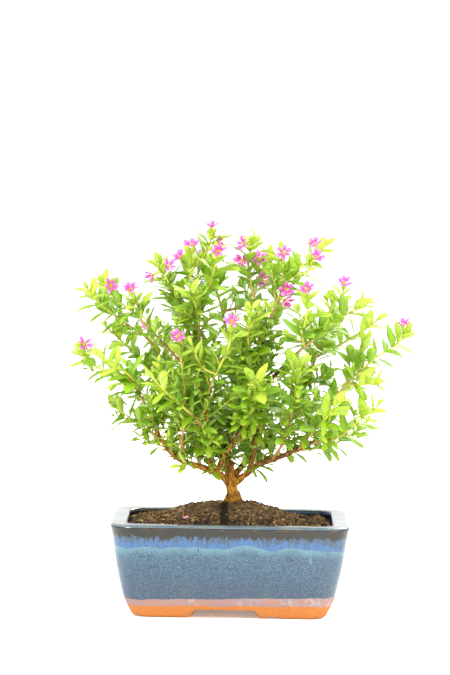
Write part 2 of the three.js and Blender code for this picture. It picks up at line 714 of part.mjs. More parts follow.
function corolla({ facing, mouth }, number, extra) {
  const first = new THREE.Vector3().crossVectors(facing, up);
  if (first.length() < 0.2) first.set(1, 0, 0);
  first.addScaledVector(facing, -first.dot(facing)).normalize();
  const second = new THREE.Vector3().crossVectors(facing, first);
  const spin = draw(number, 0, 20) * 60;
  const outline = [];
  for (let petal = 0; petal < 6; petal += 1) {
    const middle = petal * 60 + 30;
    const reach = corollaRadius * (0.92 + draw(number, petal, 21) * 0.16) + extra;
    outline.push([petal * 60, corollaRadius * corollaNotch + extra, petalLift / 4]);
    outline.push([middle - petalHalfWidth, reach, petalLift], [middle + petalHalfWidth, reach, petalLift]);
  }
  const half = petalThickness / 2 + extra;
  const base = mouth.clone().addScaledVector(facing, gap + petalThickness / 2);
  const place = ([angle, radius, lift], above) => {
    const turned = (angle + spin) * degrees;
    const spot = base.clone().addScaledVector(first, Math.cos(turned) * radius);
    spot.addScaledVector(second, Math.sin(turned) * radius);
    return spot.addScaledVector(facing, lift + above * half);
  };
  const centre = [0, 0, 0];
  const rings = [
    outline.map(() => place(centre, -1)),
    outline.map((spot) => place(spot, -1)),
    outline.map((spot) => place(spot, 1)),
    outline.map(() => place(centre, 1)),
  ];
  return solidOf(loft(rings));
}

function boxesMeet(a, b) {
  return [0, 1, 2].every((axis) => a.min[axis] <= b.max[axis] && b.min[axis] <= a.max[axis]);
}

// What is already in place, with the stem it belongs to, for leaves to be bent clear of.
const placed = [];

function keepClearOf(solid, owner) {
  placed.push({ solid, owner, box: solid.boundingBox() });
}

function hits(solid, owner) {
  const box = solid.boundingBox();
  return placed.some((other) => {
    if (other.owner === owner || !boxesMeet(box, other.box)) return false;
    return !solid.intersect(other.solid).isEmpty();
  });
}

const trunkSolid = mainBody(makeTrunk(0));
const trunkClearance = makeTrunk(gap);
addPiece("pot", makePot(), colours.clay);
addPiece("drain_mesh_left", makeDrainMesh(-1, 0), colours.mesh);
addPiece("drain_mesh_right", makeDrainMesh(1, 0), colours.mesh);
addPiece("soil", makeSoil(trunkClearance), colours.soil);
addPiece("trunk", trunkSolid, colours.bark);

keepClearOf(trunkClearance, "trunk");
stemList.forEach(({ stem }) => {
  stem.pairs = [];
  stem.calyxes = [];
  const steps = Math.max(2, Math.round(stem.length / 8));
  keepClearOf(sweep(stem.curve, [twigRadius + gap, twigTipRadius + gap], steps, 5), stem.number);
});

blooms.forEach((bloom, number) => {
  const stem = sprayNamed(bloom.on).stems[bloom.stem];
  const placement = bloomPlacement(bloom);
  const tube = calyx(placement);
  bloom.solid = corolla(placement, number, 0);
  stem.calyxes.push(tube);
  keepClearOf(tube, "calyx");
  keepClearOf(corolla(placement, number, gap), "bloom");
});

// Leaves go on from the tips inwards, one pair of every two, each bent clear of its neighbours:
// a turn round the stem, a rise from it and a smaller size.
const bends = [
  [0, 0, 1], [25, 0, 1], [-25, 0, 1], [0, 18, 1], [0, -14, 1], [38, 12, 0.9], [-38, 12, 0.9],
  [0, 0, 0.75], [25, 20, 0.75], [-25, -12, 0.75],
];
for (let pair = 0; pair * pairSpacing < leafyReach; pair += 2) {
  stemList.forEach(({ stem }) => {
    const share = pairShare(stem, pair);
    if (share * stem.length < bareStart) return;
    const leaves = [0, 1].map((which) => {
      const trials = bends.map((bend) => leafPlacement(stem, pair, which, bend));
      const leaf = trials.find((trial) => !hits(looseBlade(trial, gap), stem.number));
      if (leaf !== undefined) keepClearOf(looseBlade(leaf, 0), "leaf");
      return leaf;
    });
    if (pair === 0 || leaves.some((leaf) => leaf !== undefined)) stem.pairs.push({ pair, share, leaves });
  });
}

sprays.forEach((spray) => {
  const green = spray.stems.flatMap((stem) => [leafyStem(stem), ...stem.calyxes]);
  addPiece(`spray_${spray.name}`, mainBody(joined(green).subtract(trunkClearance)), colours.leaf);
});

blooms.forEach((bloom, number) => {
  addPiece(`bloom_${String(number + 1).padStart(2, "0")}`, bloom.solid, colours.petal);
});

export default bonsai;
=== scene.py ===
"""A cuphea bonsai in its glazed pot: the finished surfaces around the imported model.

Tables and shapes are in millimetres, in the model's own frame, and meshes are made in metres.
Lights, camera and the texture coordinates of materials are in metres as well.
"""
import itertools
import math
import random

import bmesh
import bpy
import numpy as np
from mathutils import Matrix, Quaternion, Vector, noise as smooth_noise


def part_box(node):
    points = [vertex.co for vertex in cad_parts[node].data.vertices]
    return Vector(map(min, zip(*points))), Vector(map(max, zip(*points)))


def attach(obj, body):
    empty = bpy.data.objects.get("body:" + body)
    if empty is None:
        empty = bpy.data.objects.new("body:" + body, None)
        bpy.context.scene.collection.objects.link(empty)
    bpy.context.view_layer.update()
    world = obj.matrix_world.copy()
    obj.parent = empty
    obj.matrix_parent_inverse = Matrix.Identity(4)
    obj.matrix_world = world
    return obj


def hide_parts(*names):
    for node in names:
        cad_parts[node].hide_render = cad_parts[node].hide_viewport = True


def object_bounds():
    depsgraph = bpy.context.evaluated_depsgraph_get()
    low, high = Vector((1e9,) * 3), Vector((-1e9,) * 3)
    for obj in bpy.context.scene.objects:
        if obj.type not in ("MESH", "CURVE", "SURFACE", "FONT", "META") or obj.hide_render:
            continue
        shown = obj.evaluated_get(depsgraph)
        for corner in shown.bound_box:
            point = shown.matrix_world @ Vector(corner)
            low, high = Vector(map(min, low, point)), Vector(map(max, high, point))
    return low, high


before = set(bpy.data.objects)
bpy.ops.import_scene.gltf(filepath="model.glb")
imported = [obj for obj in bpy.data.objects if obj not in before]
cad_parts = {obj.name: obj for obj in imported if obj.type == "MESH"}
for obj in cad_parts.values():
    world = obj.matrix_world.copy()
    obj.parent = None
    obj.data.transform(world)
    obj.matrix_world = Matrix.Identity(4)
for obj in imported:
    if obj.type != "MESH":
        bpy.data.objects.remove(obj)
cad_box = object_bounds()

MM = 0.001
UP = np.array([0.0, 0.0, 1.0])

# Sizes of the pot and what fills it
POT_LENGTH = 155
POT_DEPTH = 100
POT_HEIGHT = 62
POT_MIDDLE_X = -5.7
RIM_HALF = POT_LENGTH / 2
DEPTH_LESS = (POT_LENGTH - POT_DEPTH) / 2
RIM_CORNER = 14
RIM_ROUND = 1.8
LIP_WIDTH = 11
LIP_THICKNESS = 5
WALL_THICKNESS = 6
FLOOR_THICKNESS = 5
BELLY_HEIGHT = 33.5
ARCH_HEIGHT = 5.8
ARCH_SLOPE = 7
FRONT_ARCH = (50, -8.2)
SIDE_ARCH = (30, 0)
FOOT_THICKNESS = 9
DRAIN_RADIUS = 7
DRAIN_OFFSET = 32
GAP = 0.3
SOIL_EDGE = 57.2
MOUND_RISE = 12.6
MOUND_REACH = (52, 40, 33)
MOUND_FALL = 1.4
# Where the painted shadow of the trunk crosses the soil, as an x in millimetres
TRUNK_SHADOW_X = -9.5

# Sizes of the plant
TRUNK_X = -3.7
TRUNK_Y = 3
TRUNK_FOOT = 70
DRAWN_FOOT = 67
PLANT_LEAN = 0.0152
PAIR_SPACING = 5.5
PAIR_TURN = 67.5
TIP_BUD = 1
LEAFY_REACH = 55
BARE_START = 6
LEAF_LENGTHS = (8, 11.5, 14.5, 16)
LEAF_ANGLES = (24, 38, 50, 60)
LEAF_SLENDERNESS = 0.17
LEAF_SPRAWL = 26
LEAF_SPREAD = 24
LEAF_DROOP = 0.34
BLADE_THICKNESS = 0.26
CALYX_LENGTH = 6.5
COROLLA_RADIUS = 4.2

# Limbs: the radii along each in even steps, and its places from start to end
LIMBS = {
    "trunk": ([4.6, 5.2, 3.9, 3.7, 3.2], [[-3.5, 3, 46], [-3.7, 3, 67], [-4.4, 3, 75], [-6, 3, 85]]),
    "left": (
        [2.7, 2.2, 1.9, 1.5, 1.2],
        [[-5.5, 3, 79], [-12, 1, 86], [-24, -4, 92], [-41, -8, 99], [-52, -10, 113], [-58, -12, 127]],
    ),
    "right": (
        [2.6, 2.1, 1.8, 1.5, 1.2],
        [[-3.5, 3, 80], [3.4, 1, 86], [13, -2, 93.5], [25, -4, 98], [43, -6, 106], [56, -8, 113]],
    ),
    "centre": (
        [3.1, 2.8, 2.4, 1.9, 1.5, 1.2],
        [[-6, 3, 82], [-6.5, 5, 93], [-12, 8, 102], [-18.5, 10, 113], [-23, 11, 130], [-25, 9, 150],
         [-26.5, 7, 172]],
    ),
    "middle": (
        [1.7, 1.5, 1.3, 1.1],
        [[-15, 0, 88], [-9, -4, 101], [-3, -7, 110], [4, -10, 126], [9, -10, 145], [13, -9, 168]],
    ),
    "backLeft": (
        [2.3, 1.9, 1.5, 1.2],
        [[-6, 4, 84], [-12, 18, 97], [-26, 34, 114], [-42, 45, 134], [-52, 50, 152]],
    ),
    "backRight": (
        [2.3, 1.9, 1.5, 1.2],
        [[-5, 4, 83], [6, 18, 95], [22, 34, 110], [38, 46, 130], [48, 50, 150]],
    ),
    "rise": (
        [1.7, 1.5, 1.3, 1.1],
        [[7, -1, 89.5], [10, -6, 104], [14, -12, 124], [19, -16, 147], [35, -20, 166]],
    ),
    "front": ([1.6, 1.4, 1.2, 1], [[-17, -2, 89], [-20, -16, 103], [-22, -28, 122], [-20, -34, 144]]),
    "back": ([1.8, 1.5, 1.3, 1.1], [[-10, 7, 99], [-4, 24, 118], [-4, 40, 140], [-6, 48, 165]]),
    "stubLow": ([1.5, 1.5], [[-6.4, 4.6, 91], [-3.6, 2.4, 94]]),
    "stubHigh": ([1.3, 1.2], [[-9.5, 7, 99], [-7.6, 4.6, 102.5]]),
}

# Leafy stems of each spray: what a stem starts on, at which share of it, and its places to the tip
SPRAYS = {
    "left_low_tip": [
        ("left", 1, [[-66, -13, 141], [-84, -14, 154], [-99, -14, 163], [-103, -14, 170]]),
        (0, 0.22, [[-67, -25, 150], [-78, -35, 161], [-91, -41, 169]]),
    ],
    "left_hanging": [("left", 0.78, [[-62, -7, 118], [-74, -1, 126], [-86, 3, 134]])],
    "left_high": [
        ("centre", 0.75, [[-38, 4, 160], [-52, -4, 176], [-68, -8, 193], [-82, -10, 204], [-89, -10, 213]]),
        (0, 0.55, [[-64, -14, 197], [-70, -18, 206]]),
    ],
    "left_back_high": [("backLeft", 1, [[-60, 37, 172], [-76, 26, 185], [-92, 18, 198], [-100, 14, 208]])],
    "top_left": [("centre", 0.97, [[-36, 2, 186], [-42, -2, 203], [-47, -4, 215], [-53, -5, 226]])],
    "front_left_upright": [
        ("left", 0.55, [[-37, -22, 112], [-35, -32, 127], [-35, -40, 147], [-37, -45, 166],
                        [-38, -47, 179]]),
    ],
    "left_inner": [("left", 0.42, [[-31, -9, 112], [-40, -16, 130], [-46, -22, 146], [-52, -24, 162]])],
    "left_short": [("left", 0.5, [[-34, -14, 95], [-38, -20, 95]])],
    "front_middle": [
        ("front", 1, [[-14, -42, 158], [-7, -47, 173], [-4, -49, 188]]),
        (0, 0.3, [[-24, -44, 162], [-30, -52, 176]]),
    ],
    "top": [
        ("centre", 1, [[-27, 6, 195], [-27, 4, 218], [-21, 2, 234], [-17.6, 1, 243]]),
        (0, 0.68, [[-29, -3, 224], [-30, -7, 233]]),
        (0, 0.45, [[-32, 12, 216], [-35, 15, 227]]),
        (0, 0.3, [[-21, -5, 206], [-18, -11, 216], [-15, -15, 226], [-14, -17, 235]]),
    ],
    "top_middle": [
        ("middle", 1, [[13, -5, 190], [8, 0, 212], [6, 3, 228], [10, 4, 241]]),
        (0, 0.5, [[13, 4, 214], [13, 6, 227]]),
    ],
    "top_right": [
        ("middle", 0.94, [[18, -14, 182], [24, -16, 200], [30, -16, 212], [41, -14, 224], [57, -12, 238]]),
        (0, 0.55, [[29, -7, 222], [28, -3, 232]]),
        (0, 0.7, [[44, -22, 221], [47, -26, 228]]),
    ],
    "right_high": [
        ("rise", 1, [[48, -20, 177], [61, -18, 187], [73, -15, 195], [83, -13, 200]]),
        (0, 0.6, [[66, -12, 201], [68, -8, 209]]),
        (0, 0.14, [[41, -28, 180], [44, -33, 196], [45, -34, 208]]),
    ],
    "right_tip": [
        ("right", 1, [[59, -8, 131], [70, -8, 147], [88, -6, 163], [103, -4, 173], [109.5, -4, 180]]),
        (0, 0.45, [[78, 4, 161], [85, 12, 175]]),
        (0, 0.4, [[80, -20, 148], [92, -27, 150]]),
    ],
    "right_low": [("right", 0.86, [[64, -19, 113], [78, -25, 125], [90, -29, 135]])],
    "right_hanging": [("right", 0.72, [[58, 6, 105], [73, 12, 111], [84, 15, 119]])],
    "right_front": [("right", 0.55, [[30, -20, 112], [34, -32, 130], [37, -42, 150], [41, -47, 166]])],
    "front_low": [("middle", 0.42, [[6, -28, 124], [9, -47, 142], [13, -64, 157]])],
    "right_front_low": [("right", 0.75, [[46, -24, 115], [55, -42, 127], [63, -57, 140]])],
    "left_front": [("front", 0.6, [[-30, -42, 130], [-44, -56, 144], [-56, -67, 158]])],
    "front_high": [("middle", 0.78, [[6, -26, 162], [6, -38, 180], [8, -46, 198]])],
    "top_front": [("centre", 0.9, [[-26, -12, 184], [-28, -28, 199], [-32, -38, 212]])],
    "left_back_low": [("backLeft", 0.6, [[-54, 42, 128], [-68, 45, 138], [-84, 46, 150]])],
    "back_left": [
        ("backLeft", 0.88, [[-53, 57, 159], [-60, 62, 178]]),
        (0, 0.45, [[-44, 60, 174], [-40, 63, 191]]),
        (0, 0.12, [[-61, 46, 153], [-74, 42, 167], [-89, 33, 182]]),
    ],
    "right_back_low": [("backRight", 0.6, [[50, 44, 124], [66, 48, 134], [84, 50, 148]])],
    "back_right": [
        ("backRight", 1, [[54, 57, 166], [62, 61, 182]]),
        (0, 0.35, [[44, 58, 172], [40, 62, 190]]),
        (0, 0.3, [[68, 56, 168], [82, 50, 177], [92, 44, 185]]),
        (0, 0.12, [[53, 40, 168], [59, 34, 186], [63, 29, 202]]),
    ],
    "back_top": [
        ("back", 1, [[-11, 42, 190], [-17, 34, 212], [-22, 30, 226]]),
        (0, 0.35, [[4, 44, 196], [14, 36, 214], [20, 32, 229]]),
        (1, 0.5, [[28, 36, 214], [42, 30, 224]]),
    ],
    "back_middle": [
        ("back", 0.55, [[-4, 52, 142], [-5, 57, 156], [-6, 60, 172]]),
        (0, 0.4, [[8, 57, 152], [17, 61, 162]]),
    ],
}

# Flowers: the spray and stem each grows from, where along it, and the way it faces
BLOOMS = [
    ("top", 0, 0.98, (0, -0.3, 1)),
    ("top", 0, 0.86, (1, -0.5, 0.2)),
    ("top", 1, 0.95, (-0.1, -0.6, 0.8)),
    ("top", 2, 0.9, (-0.6, -0.6, 0.6)),
    ("top", 3, 0.9, (0.1, -0.9, 0.4)),
    ("top_left", 0, 0.86, (0.5, -0.6, 0.6)),
    ("top_left", 0, 0.9, (-0.8, -0.5, -0.5)),
    ("top_middle", 0, 0.88, (-0.7, -0.6, 0.4)),
    ("top_middle", 0, 0.75, (-0.5, -0.8, -0.1)),
    ("top_middle", 1, 0.95, (0, -0.9, 0.4)),
    ("top_middle", 1, 0.55, (0.3, -0.9, 0)),
    ("top_right", 0, 0.93, (-0.3, -0.6, 0.8)),
    ("top_right", 0, 0.58, (0.2, -1, -0.1)),
    ("top_right", 0, 0.48, (0.6, -0.8, -0.4)),
    ("top_right", 1, 0.85, (0.1, -0.8, 0.5)),
    ("top_right", 2, 0.95, (0.4, -0.7, 0.5)),
    ("right_high", 1, 0.95, (0.1, -0.7, 0.7)),
    ("right_high", 2, 0.95, (-0.2, -0.8, 0.6)),
    ("right_tip", 0, 0.97, (-0.2, -0.4, 0.9)),
    ("left_high", 0, 0.94, (0.5, -0.8, 0.2)),
    ("left_high", 1, 0.95, (-0.1, -0.7, 0.6)),
    ("left_low_tip", 0, 0.97, (0.3, -0.7, 0.6)),
    ("front_left_upright", 0, 0.97, (-0.1, -0.8, 0.6)),
    ("front_middle", 0, 0.96, (0, -0.7, 0.7)),
    ("back_top", 0, 0.95, (-0.3, 0.8, 0.5)),
    ("back_top", 1, 0.9, (0.3, 0.8, 0.5)),
    ("back_left", 0, 0.95, (-0.4, 0.8, 0.4)),
]


# Small vector helpers on numpy arrays
def unit(vector):
    vector = np.asarray(vector, float)
    return vector / np.linalg.norm(vector, axis=-1, keepdims=True)


def square_to(vector, axis):
    """The unit vector nearest to a vector that stands at right angles to a unit axis."""
    return unit(vector - vector.dot(axis) * axis)


def round_axis(first, second, angle):
    """The way out at an angle round an axis, from two unit vectors square to it."""
    return first * math.cos(angle) + second * math.sin(angle)


def sideways(direction):
    """A level way at right angles to a direction, or +X where the direction is upright."""
    level = np.cross(direction, UP)
    return level if np.linalg.norm(level) >= 0.2 else np.array([1.0, 0.0, 0.0])


def draw(stem, leaf, use):
    """One seeded random draw between 0 and 1 for a stem, a leaf on it and a use."""
    mask = 0xFFFFFFFF
    bits = ((stem + 11) * 0x9E3779B1) ^ ((leaf + 7) * 0x85EBCA77)
    bits = (bits ^ ((use + 3) * 0xC2B2AE3D)) & mask
    bits = ((bits ^ (bits >> 15)) * 0x2C1B3C6D) & mask
    bits = ((bits ^ (bits >> 12)) * 0x297A2D39) & mask
    return (bits ^ (bits >> 15)) / 2**32


def rough(x, y, z, scale, seed=0.0):
    """Smooth noise between about -1 and 1 at a place in millimetres."""
    return smooth_noise.noise(Vector((x / scale + seed, y / scale - seed, z / scale + 0.37 * seed)))


def grown(place):
    """Sets a place of the plant's tables on the plant's own foot, leaning a little to the left."""
    x, y, z = place
    height = z - DRAWN_FOOT
    return np.array([x - height * PLANT_LEAN, y, TRUNK_FOOT + height + (x - TRUNK_X) * PLANT_LEAN])


class Curve:
    """A smooth curve through its places, read at a share from 0 to 1."""

    STEPS = 32
    LENGTH_STEPS = 60

    def __init__(self, places):
        self.places = [np.asarray(place, float) for place in places]
        self.normals = []
        samples = [self.point(step / self.LENGTH_STEPS) for step in range(self.LENGTH_STEPS + 1)]
        self.length = float(np.linalg.norm(np.diff(samples, axis=0), axis=1).sum())

    def point(self, share):
        places = self.places
        last = len(places) - 1
        spot = last * share
        low = min(int(math.floor(spot)), last - 1)
        weight = spot - low
        before = places[low - 1] if low > 0 else 2 * places[0] - places[1]
        after = places[low + 2] if low + 2 <= last else 2 * places[last] - places[last - 1]
        start, end = places[low], places[low + 1]
        out, into = (end - before) / 2, (after - start) / 2
        bend = 3 * (end - start) - 2 * out - into
        turn = 2 * (start - end) + out + into
        return start + weight * (out + weight * (bend + weight * turn))

    def tangent(self, share):
        step = 0.0001
        return unit(self.point(min(share + step, 1)) - self.point(max(share - step, 0)))

    def carried_normals(self):
        """Normals at even steps along the curve, each carried over from the last without twisting."""
        if not self.normals:
            normal = sideways(self.tangent(0))
            for step in range(self.STEPS + 1):
                normal = square_to(normal, self.tangent(step / self.STEPS))
                self.normals.append(normal)
        return self.normals

    def frame(self, share):
        """Tangent, normal and the way across at a share of the curve."""
        tangent = self.tangent(share)
        normal = self.carried_normals()[max(0, math.ceil(share * self.STEPS) - 1)]
        normal = square_to(normal, tangent)
        return tangent, normal, np.cross(tangent, normal)


def radius_at(radii, share):
    """The radius at a share of a tapered line whose radii are evenly spaced."""
    span = share * (len(radii) - 1)
    low = min(int(math.floor(span)), len(radii) - 2)
    return radii[low] + (radii[low + 1] - radii[low]) * (span - low)


# Gathering points, faces and the values that the materials read at each point
class Shape:
    def __init__(self):
        self.places, self.faces, self.tints, self.marks = [], [], [], []
        self.count = 0

    def add(self, places, faces, tint=(0, 0, 0), mark=(0, 0, 0)):
        places = np.asarray(places, float).reshape(-1, 3)
        amount = len(places)
        self.places.append(places)
        self.faces.extend(tuple(corner + self.count for corner in face) for face in faces)
        for kept, value in ((self.tints, tint), (self.marks, mark)):
            kept.append(np.broadcast_to(np.asarray(value, float), (amount, 3)))
        self.count += amount

    def build(self, name, material, smooth=True):
        mesh = bpy.data.meshes.new(name)
        places = np.concatenate(self.places) * MM
        mesh.from_pydata(places.tolist(), [], self.faces)
        for label, values in (("tint", self.tints), ("mark", self.marks)):
            values = np.concatenate(values)
            layer = mesh.attributes.new(label, "FLOAT_COLOR", "POINT")
            layer.data.foreach_set("color", np.column_stack([values, np.ones(len(values))]).ravel())
        mesh.materials.append(material)
        mesh.polygons.foreach_set("use_smooth", [smooth] * len(mesh.polygons))
        mesh.update()
        piece = bpy.data.objects.new(name, mesh)
        bpy.context.scene.collection.objects.link(piece)
        return piece


def settle(piece, slot, *nodes):
    """Every piece rides on the one body and may stand for some nodes. The slot is not used."""
    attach(piece, "root")
    if nodes:
        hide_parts(*nodes)
    return piece


def band_faces(low, high):
    """Quads between two rings of the same number of points."""
    count = len(low)
    return [(low[i], low[(i + 1) % count], high[(i + 1) % count], high[i]) for i in range(count)]


def lofted(rings):
    """Points and faces of a closed surface through rings, with a fan at each end."""
    count = len(rings[0])
    places = np.concatenate([np.asarray(ring, float) for ring in rings])
    faces = []
    for level in range(len(rings) - 1):
        low = range(level * count, level * count + count)
        high = range(level * count + count, level * count + 2 * count)
        faces += band_faces(low, high)
    first, last = len(places), len(places) + 1
    places = np.vstack([places, np.mean(rings[0], axis=0), np.mean(rings[-1], axis=0)])
    base = (len(rings) - 1) * count
    for i in range(count):
        after = (i + 1) % count
        faces.append((first, after, i))
        faces.append((last, base + i, base + after))
    return places, faces


def tube(path, radii, sides):
    """Points and faces of a closed round tube along points, with a radius for each."""
    path = np.asarray(path, float)
    tangents = unit(np.gradient(path, axis=0))
    normal = sideways(tangents[0])
    angles = np.arange(sides) * 2 * math.pi / sides
    rings = []
    for place, tangent, radius in zip(path, tangents, radii):
        normal = square_to(normal, tangent)
        across = np.cross(tangent, normal)
        ring = place + radius * (np.outer(np.cos(angles), normal) + np.outer(np.sin(angles), across))
        rings.append(ring)
    return lofted(rings)


# Materials, each a small tree of nodes
class Value:
    """A value inside a material. Arithmetic on it adds the nodes that work it out."""

    def __init__(self, finish, socket):
        self.finish, self.socket = finish, socket

    def __add__(self, other):
        return self.finish.math("ADD", self, other)

    def __sub__(self, other):
        return self.finish.math("SUBTRACT", self, other)

    def __rsub__(self, other):
        return self.finish.math("SUBTRACT", other, self)

    def __mul__(self, other):
        return self.finish.math("MULTIPLY", self, other)

    def __truediv__(self, other):
        return self.finish.math("DIVIDE", self, other)

    def __pow__(self, other):
        return self.finish.math("POWER", self, other)

    def __abs__(self):
        return self.finish.math("ABSOLUTE", self)


class Finish:
    """A material with one Principled shader, and short calls for its nodes."""

    def __init__(self, name, roughness):
        self.material = bpy.data.materials.new(name)
        self.material.use_nodes = True
        self.tree = self.material.node_tree
        self.shader = self.tree.nodes["Principled BSDF"]
        self.output = self.tree.nodes["Material Output"]
        self.shader.inputs["Roughness"].default_value = roughness

    def feed(self, socket, value):
        """Links a value to a socket, or sets the socket to a number or a colour."""
        value = getattr(value, "socket", value)
        if isinstance(value, bpy.types.NodeSocket):
            self.tree.links.new(value, socket)
        elif hasattr(value, "__len__") and len(value) == 3 and len(socket.default_value) == 4:
            socket.default_value = (*value, 1)
        else:
            socket.default_value = value

    def node(self, kind, inputs=(), **settings):
        made = self.tree.nodes.new("ShaderNode" + kind)
        for key, value in settings.items():
            setattr(made, key, value)
        for key, value in dict(inputs).items():
            self.feed(made.inputs[key], value)
        return made

    def value(self, kind, output, inputs=(), **settings):
        """One output of a new node."""
        return Value(self, self.node(kind, inputs, **settings).outputs[output])

    def math(self, operation, first, second=0.0):
        return self.value("Math", 0, {0: first, 1: second}, operation=operation)

    def span(self, value, low, high, start=0.0, end=1.0):
        """A value eased from start to end as it goes from low to high."""
        inputs = {"Value": value, "From Min": low, "From Max": high, "To Min": start, "To Max": end}
        return self.value("MapRange", "Result", inputs, interpolation_type="SMOOTHSTEP")

    def mix(self, share, first, second):
        """The first colour, with a share of the second."""
        return self.value("Mix", 2, {0: share, 6: first, 7: second}, data_type="RGBA")

    def values(self, label):
        """The three values that the mesh carries at each point under a label."""
        colour = self.value("Attribute", "Color", attribute_name=label)
        return [Value(self, part) for part in self.node("SeparateColor", {0: colour}).outputs]

    def place(self):
        """Object coordinates, in metres."""
        return self.value("TexCoord", "Object")

    def millimetres(self):
        """The three parts of a place, in millimetres."""
        parts = self.node("SeparateXYZ", {0: self.place()}).outputs
        return [Value(self, part) * (1 / MM) for part in parts]

    def stretched(self, scale):
        """Object coordinates scaled apart, for a texture that is drawn out one way."""
        return self.value("Mapping", 0, {"Vector": self.place(), "Scale": scale})

    def noise(self, scale, detail, vector=None, roughness=0.55):
        inputs = {"Scale": scale, "Detail": detail, "Roughness": roughness, "Vector": vector or self.place()}
        return self.value("TexNoise", "Fac", inputs)

    def voronoi(self, scale, vector=None, feature="F1", **more):
        """Distance to the cells' points or, by another feature, to their edges."""
        inputs = {"Scale": scale, "Vector": vector or self.place(), **more}
        return self.value("TexVoronoi", "Distance", inputs, feature=feature)

    def bump(self, height, strength, distance):
        inputs = {"Height": height, "Strength": strength, "Distance": distance * MM}
        self.feed(self.shader.inputs["Normal"], self.value("Bump", 0, inputs))

    def set(self, **values):
        for key, value in values.items():
            self.feed(self.shader.inputs[key.replace("_", " ")], value)

    def translucent(self, share, colour):
        """Lets a share of the light through a thin blade."""
        through = self.value("BsdfTranslucent", 0, {"Color": colour})
        mixed = self.value("MixShader", 0, {0: share, 1: self.shader.outputs[0], 2: through})
        self.feed(self.output.inputs["Surface"], mixed)


# Thin blades for leaves and petals: closed, thickest along the midrib, sharp at the margins
ACROSS = (-1, -0.5, 0, 0.5, 1)
UNDER = (0.5, 0, -0.5)
BLADE_RING = len(ACROSS) + len(UNDER)
MIDRIB_DEPTH = 0.06


def blade_faces(stations):
    """Faces of one blade: a ring of points at each station and one point at the tip."""
    rings = [[level * BLADE_RING + corner for corner in range(BLADE_RING)] for level in range(stations)]
    faces = []
    for low, high in zip(rings, rings[1:]):
        faces += band_faces(low, high)
    tip = stations * BLADE_RING
    last = rings[-1]
    faces += [(last[i], last[(i + 1) % BLADE_RING], tip) for i in range(BLADE_RING)]
    faces.append(tuple(reversed(rings[0])))
    return faces


def leaf_outline(share, blunt):
    """Half width along a leaf: a short stalk, widest near the middle, and a more or less blunt tip."""
    low, high = 0.8, 1.05 - 0.5 * blunt
    peak = low / (low + high)
    full = peak**low * (1 - peak) ** high
    return max(0.08, share**low * (1 - share) ** high / full * min(1, 0.2 + share * 5))


def petal_outline(share):
    """Half width along a petal: a narrow claw that opens into a rounded blade."""
    claw = 0.16 + share * 0.5
    rounded = math.sqrt(max(0.0, 1 - ((share - 0.62) / 0.385) ** 2)) if share > 0.3 else 0.0
    return max(claw if share < 0.45 else 0.1, rounded)


def blade(spot, outline, stations, thickness):
    """Points of one blade with the values at each: place across, place along and underside."""
    root, direction, face, length = spot["root"], spot["direction"], spot["face"], spot["length"]
    side = unit(np.cross(face, direction))
    places, marks = [], []
    for level in range(stations + 1):
        share = 1 - (1 - level / stations) ** spot["ease"]
        middle = root + direction * length * share - face * spot["droop"] * length * share**2
        middle = middle + side * spot["sway"] * length * share**2
        if level == stations:
            places.append(middle)
            marks.append((0, 1, 0.5))
            break
        tangent = unit(direction - 2 * face * spot["droop"] * share + 2 * side * spot["sway"] * share)
        across = square_to(side, tangent)
        above = np.cross(tangent, across)
        turned = round_axis(across, above, spot["twist"] * share)
        raised = round_axis(above, -across, spot["twist"] * share)
        width = spot["half_width"] * outline(share)
        for row, sign in ((ACROSS, 1), (UNDER, -1)):
            for away in row:
                ripple = spot["ripple"] * math.sin(share * spot["waves"] + away * 1.7 + spot["phase"])
                fold = abs(away) * width * spot["fold"] + ripple * away * away * width
                half = sign * thickness / 2 * (1 - away * away)
                if sign < 0 and away == 0:
                    half -= MIDRIB_DEPTH
                under = 1 if sign < 0 else 0.4 if abs(away) == 1 else 0
                places.append(middle + turned * away * width + raised * (fold + half))
                marks.append((abs(away), share, under))
    return np.array(places), marks


LEAF_STATIONS = 7
SMALL_STATIONS = 5
PETAL_STATIONS = 9
BLADES = {count: blade_faces(count) for count in (LEAF_STATIONS, SMALL_STATIONS, PETAL_STATIONS)}


# The plant's lines: limbs first, then each stem from its own start on a limb or an older stem
limb_curves = {name: Curve([grown(place) for place in path]) for name, (_, path) in LIMBS.items()}
spray_curves = {}
stems = []
for spray_name, rows in SPRAYS.items():
    spray_curves[spray_name] = []
    for on, at, path in rows:
        parent = limb_curves[on] if isinstance(on, str) else spray_curves[spray_name][on]
        curve = Curve([parent.point(at)] + [grown(place) for place in path])
        spray_curves[spray_name].append(curve)
        stem = {"piece": spray_name, "curve": curve, "number": len(stems), "leaves": [], "youth": 1}
        stems.append(stem | {"spacing": PAIR_SPACING, "lengths": LEAF_LENGTHS})


def pair_share(stem, pair):
    """The share along a stem where a pair of leaves sits, counted down from the tip."""
    return 1 - (TIP_BUD + pair * stem["spacing"]) / stem["curve"].length


